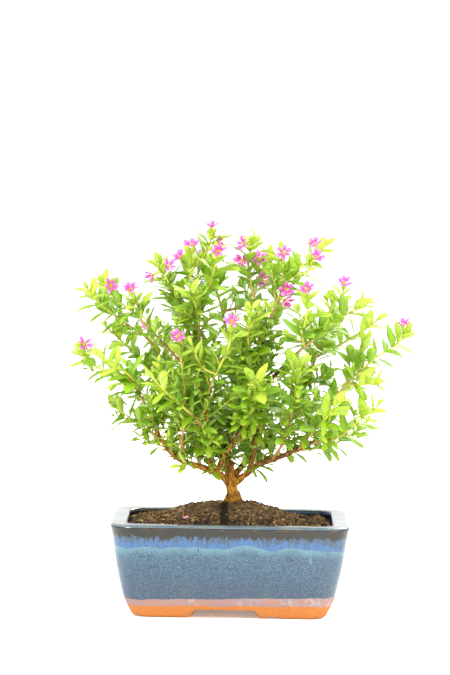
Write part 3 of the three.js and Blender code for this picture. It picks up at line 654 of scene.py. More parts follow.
def leaf_spot(stem, pair, which, bend=(0, 0, 1)):
    """Where a leaf grows, the way it points and faces, and its size and curl."""
    turn, rise, shrink = bend
    curve, number, lengths = stem["curve"], stem["number"], stem["lengths"]
    share = pair_share(stem, pair)
    tangent, normal, across = curve.frame(share)
    young = min(pair, len(lengths) - 1)
    leaf = pair * 2 + which
    sprawl = (draw(number, leaf, 2) - 0.5) * LEAF_SPRAWL
    angle = math.radians(draw(number, 0, 1) * 360 + pair * PAIR_TURN + which * 180 + sprawl + turn)
    outward = round_axis(normal, across, angle)
    opening = math.radians(LEAF_ANGLES[young] + (draw(number, leaf, 3) - 0.35) * LEAF_SPREAD + rise)
    direction = unit(outward * math.sin(opening) + tangent * math.cos(opening) + 0.12 * UP)
    length = lengths[young] * (0.86 + draw(number, leaf, 4) * 0.36) * shrink
    return {
        "root": curve.point(share),
        "direction": direction,
        "face": square_to(0.7 * tangent + 0.75 * UP, direction),
        "length": length,
        "half_width": length * LEAF_SLENDERNESS * (1 + draw(number, leaf, 5) * 0.5),
        "droop": draw(number, leaf, 6) * LEAF_DROOP - 0.06,
        "sway": (draw(number, leaf, 30) - 0.5) * 0.25,
        "twist": (draw(number, leaf, 31) - 0.5) * 1.1,
        "fold": 0.12 + draw(number, leaf, 32) * 0.3,
        "ripple": 0.1,
        "waves": 9,
        "phase": draw(number, leaf, 33) * 6,
        "blunt": draw(number, leaf, 35),
        "ease": 1.12,
        "youth": stem["youth"] * max(0.0, 1 - pair / 5.5),
        "chance": draw(number, leaf, 34),
    }


BOX_MARGIN = 1
LINE_SPACING = 3


class Room:
    """Remembers where leaves and stems are, in small cells, so that new leaves keep clear of them."""

    def __init__(self, clearance):
        self.clearance = clearance
        self.cells = {}

    def cell(self, place):
        return tuple(int(math.floor(part / self.clearance)) for part in place)

    def is_free(self, places):
        for place in places:
            near = [(part - 1, part, part + 1) for part in self.cell(place)]
            for cell in itertools.product(*near):
                if any(math.dist(taken, place) < self.clearance for taken in self.cells.get(cell, ())):
                    return False
        return True

    def take(self, places):
        for place in places:
            self.cells.setdefault(self.cell(place), []).append(tuple(place))


def midline(spot):
    """Four places along the middle of a leaf, by which it is kept clear of the rest."""
    shares = np.array([0.3, 0.5, 0.7, 0.9])[:, None]
    straight = spot["root"] + spot["direction"] * spot["length"] * shares
    return straight - spot["face"] * spot["droop"] * spot["length"] * shares**2


def within_model(spot):
    """Whether a leaf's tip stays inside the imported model's box."""
    tip = spot["root"] + (spot["direction"] - spot["face"] * spot["droop"]) * spot["length"]
    low, high = (np.array(corner) / MM for corner in cad_box)
    return bool(np.all(tip > low + BOX_MARGIN) and np.all(tip < high - BOX_MARGIN))


# Trials for a leaf to be clear of the others: a turn round the stem, a rise from it and a size
BENDS = [
    (0, 0, 1), (25, 0, 1), (-25, 0, 1), (0, 18, 1), (0, -14, 1), (38, 12, 0.9), (-38, 12, 0.9),
    (0, 0, 0.75), (25, 20, 0.75), (-25, -12, 0.75),
]
LEAF_CLEARANCE = 1.1
room = Room(LEAF_CLEARANCE)


def grow_leaf(stem, pair, which, bends):
    """Adds the first of a leaf's trials that is clear of the rest and inside the model."""
    for bend in bends:
        spot = leaf_spot(stem, pair, which, bend)
        line = midline(spot)
        if within_model(spot) and room.is_free(line):
            room.take(line)
            stem["leaves"].append(spot)
            return


def take_line(curve):
    """Keeps the room that a bare stem takes up."""
    steps = max(2, round(curve.length / LINE_SPACING))
    room.take(curve.point(step / steps) for step in range(steps + 1))


def grow_stem_leaves():
    """Pairs of leaves on every stem, the youngest pairs of all stems first."""
    for stem in stems:
        take_line(stem["curve"])
    for pair in range(int(LEAFY_REACH / PAIR_SPACING)):
        for stem in stems:
            if pair_share(stem, pair) * stem["curve"].length > BARE_START:
                for which in (0, 1):
                    grow_leaf(stem, pair, which, BENDS)


# Short side shoots, in the axils of older leaves and straight from the limbs
SHOOT_SPACING = 3.8
SHOOT_LENGTHS = (5.5, 8, 10, 11)
SHOOT_BENDS = BENDS[:3] + BENDS[7:8]
SHOOT_SEED = 500
FIRST_AXIL = 2
BARE_AXILS = 3
MIDDLE_CHANCE = 1.24
OUTWARD_LOSS = 1.1
LIMB_SEED = 300
LIMB_STEP = 5.5
LIMB_START = 15
LIMB_TURN = 2.4
CROWN_MIDDLE = np.array([-5, 0, 145])
CROWN_REACH = np.array([105, 70, 95])
shoots = []


def grow_shoot(piece, root, aim, length, youth):
    """A short leafy shoot that bends towards the light, left out where it has no room."""
    number = SHOOT_SEED + len(shoots)
    lean = np.array([draw(number, 1, 51) - 0.5, draw(number, 2, 51) - 0.5, 0]) * 0.5
    places = [root + length * (aim * step + (0.3 * UP + lean) * step**2) for step in (0, 0.35, 0.7, 1)]
    curve = Curve(places)
    shoot = {"piece": piece, "curve": curve, "number": number, "leaves": [], "youth": youth}
    shoot = shoot | {"spacing": SHOOT_SPACING, "lengths": SHOOT_LENGTHS}
    line = [curve.point(share) for share in (0.45, 0.75, 1)]
    if not room.is_free(line):
        return
    room.take(line)
    for pair in range(int((curve.length - 1) / SHOOT_SPACING)):
        for which in (0, 1):
            grow_leaf(shoot, pair, which, SHOOT_BENDS)
    if shoot["leaves"]:
        shoots.append(shoot)


def outwardness(place):
    """0 in the middle of the crown and 1 at its outside."""
    return float(np.linalg.norm((place - CROWN_MIDDLE) / CROWN_REACH))


def grow_axil_shoots(stem):
    """Shoots in the leaf axils of one stem, denser towards the middle of the crown."""
    curve = stem["curve"]
    pair = FIRST_AXIL
    while pair_share(stem, pair) * curve.length > BARE_AXILS:
        for which in (0, 1):
            chance = draw(stem["number"], pair * 2 + which, 52)
            leaf = leaf_spot(stem, pair, which)
            if chance < MIDDLE_CHANCE - OUTWARD_LOSS * outwardness(leaf["root"]):
                aim = unit(leaf["direction"] + 0.4 * curve.tangent(pair_share(stem, pair)))
                length = min(5 + 22 * chance, 4 + 2.6 * pair)
                grow_shoot(stem["piece"], leaf["root"], aim, length, 0.2 + 0.6 * chance)
        pair += 1


def grow_limb_shoots(limb_name):
    """Two shoots at every step along a limb. Low on the limb, none points down."""
    curve = limb_curves[limb_name]
    for step in range(int((curve.length - LIMB_START) / LIMB_STEP)):
        share = (LIMB_START + step * LIMB_STEP) / curve.length
        tangent, normal, across = curve.frame(share)
        for side in (0, 1):
            number = LIMB_SEED + len(shoots)
            angle = LIMB_TURN * step + math.pi * side + draw(number, step, 53)
            aim = unit(round_axis(normal, across, angle) + 0.4 * tangent + 0.45 * UP)
            if aim[2] < 0.05 and share < 0.6:
                continue
            length = 9 + 16 * draw(number, side, 54)
            youth = 0.7 * draw(number, side, 55)
            grow_shoot("limb_" + limb_name, curve.point(share), aim, length, youth)


grow_stem_leaves()
for stem in stems:
    grow_axil_shoots(stem)
for limb_name in LIMBS:
    if limb_name != "trunk" and not limb_name.startswith("stub"):
        grow_limb_shoots(limb_name)


def bloom_spot(number):
    """Where a flower's stalk starts, and the way the flower faces."""
    spray_name, stem, at, face = BLOOMS[number]
    return spray_curves[spray_name][stem].point(at), unit(face)


# Foliage: twigs, leaves, flower stalks and calyx tubes of one spray in one piece
def foliage_finish():
    finish = Finish("foliage", roughness=0.4)
    mix, span, noise = finish.mix, finish.span, finish.noise
    youth, chance, woody = finish.values("tint")
    away, along, under = finish.values("mark")
    old = mix(chance, (0.155, 0.36, 0.008), (0.42, 0.63, 0.022))
    fresh = mix(chance, (0.54, 0.67, 0.04), (0.73, 0.79, 0.13))
    green = mix(span(youth, 0.05, 0.75), old, fresh)
    green = mix(span(noise(260, 3), 0.35, 0.7) * 0.35, green, (0.36, 0.6, 0.015))
    green = mix(under, green, mix(0.45, green, (0.36, 0.52, 0.16)))
    rib = span(away, 0.0, 0.14, 1, 0)
    vein = span(finish.math("SINE", along * 62 + away * -9), 0.7, 1)
    lines = finish.math("MAXIMUM", rib * 0.5, vein * 0.12)
    green = mix(lines, green, (0.6, 0.78, 0.16))
    stem_young = mix(noise(500, 2), (0.42, 0.5, 0.03), (0.58, 0.5, 0.08))
    stem_old = mix(noise(700, 4), (0.3, 0.13, 0.04), (0.58, 0.33, 0.13))
    stem_colour = mix(span(youth, 0.05, 0.6), stem_old, stem_young)
    colour = mix(woody, green, stem_colour)
    finish.set(Base_Color=colour, Specular_IOR_Level=0.55)
    finish.bump(vein * 0.5 - rib, 0.35, 0.15)
    glow = mix(0.5, colour, (0.66, 0.84, 0.04))
    finish.translucent((1 - woody) * 0.45, glow)
    return finish.material


STEM_RADII = (0.95, 0.5)
STEM_SIDES = 8
SHOOT_RADII = (0.5, 0.3)
SHOOT_SIDES = 5
RING_SPACING = 1.8
NODE_SWELL = 0.35
NODE_REACH = 0.9
CALYX_SIDES = 12
CALYX_SHARES = np.array([0, 0.22, 0.3, 0.4, 0.62, 0.9, 1.0])
CALYX_RADII = (0.32, 0.36, 0.75, 0.95, 0.8, 1.0, 1.12)
CALYX_GROOVE = 0.86


def add_twig(shape, curve, radii, youths, sides, nodes=()):
    """A twig that swells a little at its leaf pairs, woody at its start and green at its tip."""
    steps = max(4, round(curve.length / RING_SPACING))
    shares = np.linspace(0, 1, steps + 1)
    path = np.array([curve.point(share) for share in shares])
    thick = np.array([radius_at(radii, share) for share in shares])
    for node in nodes:
        thick = thick * (1 + NODE_SWELL * np.exp(-(((shares - node) * curve.length / NODE_REACH) ** 2)))
    places, faces = tube(path, thick, sides)
    youth = np.interp(shares, [0, 1], youths)
    youth = np.append(np.repeat(youth, sides), [youths[0], youths[1]])
    tint = np.column_stack([youth, np.full(len(youth), 0.5), np.ones(len(youth))])
    shape.add(places, faces, tint)


def add_leaf(shape, spot, stations):
    places, marks = blade(spot, lambda share: leaf_outline(share, spot["blunt"]), stations, BLADE_THICKNESS)
    shape.add(places, BLADES[stations], (spot["youth"], spot["chance"], 0), marks)


def add_calyx(shape, root, facing, number):
    """A sagging stalk and a ribbed tube that swells at its foot and opens at its mouth."""
    sag = -0.5 * np.sin(CALYX_SHARES * math.pi)
    path = root + np.outer(CALYX_SHARES * (CALYX_LENGTH + 0.2), facing) + np.outer(sag, UP)
    places, faces = tube(path, CALYX_RADII, CALYX_SIDES)
    ribs = np.tile([1.0, CALYX_GROOVE], CALYX_SIDES // 2 * len(path))[:, None]
    centres = np.repeat(path, CALYX_SIDES, axis=0)
    places[: len(ribs)] = centres + (places[: len(ribs)] - centres) * ribs
    shape.add(places, faces, (0.75 + 0.2 * draw(number, 0, 60), 0.4, 0.75))


def add_stem(shape, stem):
    curve = stem["curve"]
    shares = [pair_share(stem, pair) for pair in range(int(curve.length / stem["spacing"]))]
    nodes = [share for share in shares if share > 0]
    youths = [max(-0.4, 1 - curve.length / 60), 1.0]
    add_twig(shape, curve, STEM_RADII, youths, STEM_SIDES, nodes)
    for spot in stem["leaves"]:
        add_leaf(shape, spot, LEAF_STATIONS)


def add_shoot(shape, shoot):
    add_twig(shape, shoot["curve"], SHOOT_RADII, [0.3, 0.5 + shoot["youth"] / 2], SHOOT_SIDES)
    for spot in shoot["leaves"]:
        add_leaf(shape, spot, SMALL_STATIONS)


def add_shoots(shape, piece):
    for shoot in shoots:
        if shoot["piece"] == piece:
            add_shoot(shape, shoot)


def make_spray(spray_name, material):
    shape = Shape()
    for stem in stems:
        if stem["piece"] == spray_name:
            add_stem(shape, stem)
    add_shoots(shape, spray_name)
    for number, row in enumerate(BLOOMS):
        if row[0] == spray_name:
            add_calyx(shape, *bloom_spot(number), number)
    return settle(shape.build("leaves_" + spray_name, material), "leaf", "spray_" + spray_name)


def make_limb_shoots(limb_name, material):
    shape = Shape()
    add_shoots(shape, "limb_" + limb_name)
    if shape.count:
        settle(shape.build("shoots_" + limb_name, material), "leaf")


# Flowers: six crinkled petals round a throat with its stamens
def petal_finish():
    finish = Finish("petals", roughness=0.6)
    mix, span, noise = finish.mix, finish.span, finish.noise
    chance, kind = finish.values("tint")[:2]
    away, along = finish.values("mark")[:2]
    deep = mix(chance, (0.66, 0.06, 0.4), (0.74, 0.11, 0.52))
    pale = mix(chance, (0.8, 0.26, 0.66), (0.84, 0.36, 0.76))
    body = mix(span(along, 0.3, 1.0), deep, pale)
    streak = span(noise(900, 2, finish.stretched((1, 1, 0.4))), 0.45, 0.7)
    body = mix(streak * 0.3, body, (0.6, 0.05, 0.33))
    rib = span(away, 0.0, 0.12, 0.4, 0)
    body = mix(rib, body, (0.55, 0.04, 0.3))
    throat = span(along, 0.1, 0.3, 1, 0)
    body = mix(throat, body, (0.85, 0.5, 0.12))
    colour = mix(kind, body, (0.9, 0.62, 0.12))
    finish.set(Base_Color=colour)
    finish.bump(noise(1500, 3), 0.4, 0.12)
    finish.translucent(0.4, mix(0.4, colour, (0.95, 0.4, 0.75)))
    return finish.material


PETALS = 6
PETAL_THICKNESS = 0.16
PETAL_HALF_WIDTH = 1.3
STAMENS = 7
FILAMENT_RADII = (0.07, 0.06, 0.06, 0.05)
ANTHER_RADII = (0.08, 0.2, 0.2, 0.06)


def petal_spot(number, petal, centre, outward, facing):
    """Where a petal grows, the way it points and faces, and its size and curl."""
    lift = 0.3 + draw(number, 0, 50) * 0.7 + draw(number, petal, 41) * 0.35
    direction = unit(outward + facing * lift)
    return {
        "root": centre + outward * 0.35,
        "direction": direction,
        "face": square_to(facing, direction),
        "length": COROLLA_RADIUS * (1.22 + draw(number, petal, 21) * 0.26),
        "half_width": PETAL_HALF_WIDTH * (0.85 + draw(number, petal, 42) * 0.4),
        "droop": 0.05 + draw(number, petal, 43) * 0.3,
        "sway": (draw(number, petal, 44) - 0.5) * 0.24,
        "twist": (draw(number, petal, 45) - 0.5) * 0.9,
        "fold": -0.12 + draw(number, petal, 46) * 0.3,
        "ripple": 0.24,
        "waves": 13,
        "phase": draw(number, petal, 47) * 6,
        "ease": 1.6,
    }


def add_stamen(shape, foot, tip, facing):
    """A thin filament and the small yellow anther at its end."""
    shape.add(*tube(np.linspace(foot, tip, 4), FILAMENT_RADII, 4), (0.5, 0.35, 0), (0.5, 0.1, 0))
    anther = np.linspace(tip - facing * 0.1, tip + facing * 0.35, 4)
    shape.add(*tube(anther, ANTHER_RADII, 6), (0.5, 1, 0), (0.5, 0.5, 0))


def make_bloom(number, material):
    root, facing = bloom_spot(number)
    first = square_to(sideways(facing), facing)
    second = np.cross(facing, first)
    spin = draw(number, 0, 20) * 60
    centre = root + facing * (CALYX_LENGTH + GAP + 0.1)
    shape = Shape()
    for petal in range(PETALS):
        angle = math.radians(spin + petal * 60 + 30 + (draw(number, petal, 40) - 0.5) * 14)
        spot = petal_spot(number, petal, centre, round_axis(first, second, angle), facing)
        places, marks = blade(spot, petal_outline, PETAL_STATIONS, PETAL_THICKNESS)
        shape.add(places, BLADES[PETAL_STATIONS], (draw(number, petal, 48), 0, 0), marks)
    for stamen in range(STAMENS):
        outward = round_axis(first, second, math.radians(stamen * 51.4 + spin))
        foot = centre + outward * 0.4 - facing * 0.2
        tip = foot + facing * (1.3 + draw(number, stamen, 49) * 0.8) + outward * 0.35
        add_stamen(shape, foot, tip, facing)
    piece = shape.build("flower_%02d" % (number + 1), material)
    return settle(piece, "petal", "bloom_%02d" % (number + 1))


# Trunk and limbs: tapered sweeps melted together, with flaky bark
def bark_finish():
    finish = Finish("bark", roughness=0.85)
    mix, span, noise = finish.mix, finish.span, finish.noise
    x, _, z = finish.millimetres()
    flakes = noise(420, 6, finish.stretched((1, 1, 0.32)), roughness=0.7)
    fine = noise(1900, 5)
    colour = mix(span(flakes, 0.38, 0.6), (0.16, 0.055, 0.01), (0.66, 0.29, 0.028))
    colour = mix(span(fine, 0.5, 0.7, 0, 0.65), colour, (0.78, 0.42, 0.07))
    patches = span(noise(150, 4, roughness=0.65), 0.5, 0.62)
    colour = mix(patches * 0.6, colour, (0.11, 0.05, 0.022))
    shaded = x + noise(60, 2) * 10
    colour = mix(span(shaded, 8, 16, 0, 0.6), colour, (0.13, 0.06, 0.032))
    edges = finish.voronoi(700, finish.stretched((1, 1, 0.25)), "DISTANCE_TO_EDGE")
    cracks = span(edges, 0, 0.09, 1, 0)
    colour = mix(cracks * 0.55, colour, (0.035, 0.014, 0.006))
    earth = z + noise(380, 3) * -8
    colour = mix(span(earth, 70, 66.5, 0, 0.85), colour, (0.03, 0.017, 0.01))
    finish.set(Base_Color=colour, Specular_IOR_Level=0.25)
    finish.bump(flakes + fine * 0.4 - cracks, 0.9, 0.6)
    return finish.material


def apply_modifier(piece, kind, **settings):
    modifier = piece.modifiers.new(kind, kind)
    for key, value in settings.items():
        setattr(modifier, key, value)
    bpy.context.view_layer.objects.active = piece
    with bpy.context.temp_override(object=piece, active_object=piece, selected_objects=[piece]):
        bpy.ops.object.modifier_apply(modifier=modifier.name)


def weather(piece, lift, smoothing=0):
    """Smooths a piece's points and moves each along its normal by lift(x, y, z) millimetres."""
    mesh = piece.data
    bm = bmesh.new()
    bm.from_mesh(mesh)
    axes = {"use_axis_x": True, "use_axis_y": True, "use_axis_z": True}
    for _ in range(smoothing):
        bmesh.ops.smooth_vert(bm, verts=bm.verts, factor=0.5, **axes)
    bm.normal_update()
    for vert in bm.verts:
        vert.co += vert.normal * lift(*(part / MM for part in vert.co)) * MM
    bm.to_mesh(mesh)
    bm.free()
    mesh.polygons.foreach_set("use_smooth", [True] * len(mesh.polygons))


# Surface roots that flare out of the trunk's foot: the way each heads and its reach, and their path
ROOTS = [(15, 7.4), (78, 6.6), (140, 7), (196, 8), (248, 6.4), (308, 7.6)]
ROOT_PATH = [(0.3, 8), (0.5, 4.6), (0.68, 2), (0.85, 0.3), (1.1, -1.2)]
ROOT_RADII = (1.7, 1.9, 1.6, 1.1, 0.7)
ROOT_SIDES = 10
LIMB_SIDES = 14
LIMB_RING_SPACING = 2.5
MELT_SIZE = 0.5
BARK_SMOOTHING = 3


def bark_lift(x, y, z):
    """Flakes drawn out along the wood, and broader swellings."""
    flake = rough(x, y, z * 0.45, 1.9) * 0.22 + rough(x, y, z * 0.35, 0.8, 7) * 0.12
    return flake + rough(x, y, z, 6, 3) * 0.35 + 0.1


def confine(piece, lowest, highest):
    """Keeps every point of a piece inside a box."""
    for vert in piece.data.vertices:
        for axis in range(3):
            vert.co[axis] = min(max(vert.co[axis], lowest[axis]), highest[axis])


def make_trunk(material):
    shape = Shape()
    for name, (radii, _) in LIMBS.items():
        curve = limb_curves[name]
        steps = max(3, round(curve.length / LIMB_RING_SPACING))
        shares = np.linspace(0, 1, steps + 1)
        thick = [radius_at(radii, share) for share in shares]
        shape.add(*tube([curve.point(share) for share in shares], thick, LIMB_SIDES))
    middle = np.array([TRUNK_X, TRUNK_Y, TRUNK_FOOT])
    for turn, reach in ROOTS:
        heading = np.array([math.cos(math.radians(turn)), math.sin(math.radians(turn)), 0.0])
        line = [middle + heading * reach * away + UP * rise for away, rise in ROOT_PATH]
        shape.add(*tube(line, ROOT_RADII, ROOT_SIDES))
    piece = shape.build("trunk_and_limbs", material)
    apply_modifier(piece, "REMESH", mode="VOXEL", voxel_size=MELT_SIZE * MM)
    weather(piece, bark_lift, BARK_SMOOTHING)
    confine(piece, *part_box("trunk"))
    piece.data.materials.clear()
    piece.data.materials.append(material)
    return settle(piece, "bark", "trunk")


# Pot: rings of one rounded plan, from the underside over the feet, wall and lip to the inner floor
def plan(half, corner, height):
    """A rounded rectangle with points along its arcs and sides; height is one number or one each."""
    half_depth = half - DEPTH_LESS
    arc_steps, long_steps, short_steps = 10, 64, 38
    points = []
    for quarter in range(4):
        sign_x = 1 if quarter in (0, 3) else -1
        sign_y = 1 if quarter < 2 else -1
        for step in range(arc_steps + 1):
            angle = math.radians((quarter + step / arc_steps) * 90)
            x = sign_x * (half - corner) + corner * math.cos(angle)
            y = sign_y * (half_depth - corner) + corner * math.sin(angle)
            points.append((x, y))
        steps = long_steps if quarter % 2 == 0 else short_steps
        end = points[-1]
        ahead = [-end[0], end[1]] if quarter % 2 == 0 else [end[0], -end[1]]
        points += [tuple(np.array(end) + (np.array(ahead) - end) * step / steps) for step in range(1, steps)]
    points = np.array(points)
    heights = np.broadcast_to(np.asarray(height, float), (len(points),))
    return np.column_stack([points[:, 0] + POT_MIDDLE_X, points[:, 1], heights])


def corner_at(half):
    """The corner's radius where the plan has this half length."""
    return RIM_CORNER - (RIM_HALF - half) * 0.25


OUTER_PROFILE = [
    (16.5, 0), (14, 1.7), (11, 8), (8, 15.7), (4.2, BELLY_HEIGHT), (1.3, 52.5),
    (0.2, POT_HEIGHT - RIM_ROUND * 2), (0, POT_HEIGHT - RIM_ROUND), (1.3, POT_HEIGHT - 0.3), (3, POT_HEIGHT),
]
OPENING_HALF = RIM_HALF - LIP_WIDTH
LIP_UNDERSIDE = POT_HEIGHT - LIP_THICKNESS
INNER_FLOOR = ARCH_HEIGHT + FLOOR_THICKNESS
CAVITY_PROFILE = [(0.4, LIP_UNDERSIDE), (3.8, BELLY_HEIGHT), (8, INNER_FLOOR + 3.2), (11, INNER_FLOOR)]
LIP_PROFILE = [
    (5, POT_HEIGHT - 0.35), (1.6, POT_HEIGHT - 0.1), (0.5, POT_HEIGHT - 0.5), (0, POT_HEIGHT - 1.4),
    (0, LIP_UNDERSIDE + 0.6), (0.6, LIP_UNDERSIDE),
]
FLOOR_HALF = 40
WALL_LEVELS = 44
SKIRT_TOP = 9.0
FOOT_SOFTNESS = 0.7
CHIP_X = 22
CHIP_HALF = 5
CHIP_DEPTH = 1.4
CHIP_FRONT = -30
DRILL_SIDES = 40
DRILL_DEPTH = 30
CLAY_TOP = 11


def arch_rise(ring):
    """How far the foot's edge is lifted off the ground at each point of a ring."""
    rise = np.zeros(len(ring))
    half = RIM_HALF - OUTER_PROFILE[0][0]
    half_depth = half - DEPTH_LESS
    for index, (x, y) in enumerate(ring[:, :2]):
        if abs(y) > half_depth * 0.75:
            width, away = FRONT_ARCH[0], abs(x - FRONT_ARCH[1])
        elif abs(x - POT_MIDDLE_X) > half * 0.75:
            width, away = SIDE_ARCH[0], abs(y)
        else:
            continue
        slope = (width / 2 - away) / ARCH_SLOPE * (ARCH_HEIGHT + 1) - 1
        rise[index] = min(max(slope, 0), ARCH_HEIGHT - 0.05)
    chip = np.exp(-(((ring[:, 0] - CHIP_X) / CHIP_HALF) ** 4)) * (ring[:, 1] < CHIP_FRONT) * CHIP_DEPTH
    return np.maximum(rise, chip)


def foot_rings(foot_half, rise):
    """The underside and the inner edge of the feet."""
    half = foot_half - FOOT_THICKNESS
    return [
        plan(half * 0.5, 3, ARCH_HEIGHT),
        plan(half - 0.4, 5, ARCH_HEIGHT),
        plan(half, 6, ARCH_HEIGHT - 0.02),
        plan(half, 6, np.minimum(rise + 0.5, ARCH_HEIGHT - 0.03)),
        plan(half + 0.5, 6, np.minimum(rise, ARCH_HEIGHT - 0.04)),
        plan(foot_half - 1.6, corner_at(foot_half), rise),
    ]


def skirt_ring(half, z, rise):
    """A ring low on the wall, lifted over the arches and set in to follow the wall there."""
    heights = rise + (SKIRT_TOP - rise) * z / SKIRT_TOP
    insets = np.interp(heights, [row[1] for row in OUTER_PROFILE], [row[0] for row in OUTER_PROFILE])
    halves = RIM_HALF - insets - FOOT_SOFTNESS * np.exp(-z / 0.5)
    ring = plan(half, corner_at(half), heights)
    ring[:, 0] = (ring[:, 0] - POT_MIDDLE_X) * halves / half + POT_MIDDLE_X
    ring[:, 1] *= (halves - DEPTH_LESS) / (half - DEPTH_LESS)
    return ring


def wall_rings():
    """Rings up the outside of the pot, from its feet to the top of the rim."""
    profile = Curve([(RIM_HALF - inset, 0, z) for inset, z in OUTER_PROFILE])
    foot_half = profile.point(0)[0]
    rise = arch_rise(plan(foot_half, corner_at(foot_half), 0))
    rings = foot_rings(foot_half, rise)
    for level in range(WALL_LEVELS + 1):
        half, _, z = profile.point(level / WALL_LEVELS)
        rings.append(skirt_ring(half, z, rise) if z < SKIRT_TOP else plan(half, corner_at(half), z))
    return rings


def inner_rings():
    """Rings over the lip, down the inside and in over the floor."""
    halves = [(OPENING_HALF + out, z) for out, z in LIP_PROFILE]
    halves += [(RIM_HALF - WALL_THICKNESS - inset, z) for inset, z in CAVITY_PROFILE]
    return [plan(half, corner_at(half), z) for half, z in halves] + [plan(FLOOR_HALF, 6, INNER_FLOOR)]


def drill_hole(piece, x):
    bpy.ops.mesh.primitive_cylinder_add(
        vertices=DRILL_SIDES, radius=DRAIN_RADIUS * MM, depth=DRILL_DEPTH * MM,
        location=(x * MM, 0, INNER_FLOOR * MM))
    drill = bpy.context.object
    apply_modifier(piece, "BOOLEAN", operation="DIFFERENCE", solver="MANIFOLD", object=drill)
    bpy.data.objects.remove(drill)


def pot_lift(x, y, z):
    """The wall's unevenness and the coarse grain of its bare clay. The underside stays flat."""
    if z < 0.05 or abs(z - ARCH_HEIGHT) < 0.1:
        return 0
    uneven = rough(x, y, z, 26, 2) * 0.3 + rough(x, y, z, 9, 5) * 0.08
    grain = 0.12 * rough(x, y, z, 2.2, 9) if z < CLAY_TOP else 0
    return (uneven - 0.15 + grain) * min(1, z / 2)


def make_pot(material):
    shape = Shape()
    shape.add(*lofted(wall_rings() + inner_rings()))
    piece = shape.build("glazed_pot", material)
    for side in (-1, 1):
        drill_hole(piece, POT_MIDDLE_X + side * DRAIN_OFFSET)
    weather(piece, pot_lift)
    return settle(piece, "glazed_clay", "pot")


# Marks of the firing on the front wall: place, height, half width and half height, and tone
FIRING_MARKS = [
    ((34.5, 40.3, 1.2, 1.2), (0.034, 0.024, 0.018)),
    ((-25.7, 46, 0.45, 1.9), (0.024, 0.03, 0.04)),
    ((46.6, 40, 1.1, 2.3), (0.07, 0.155, 0.225)),
]


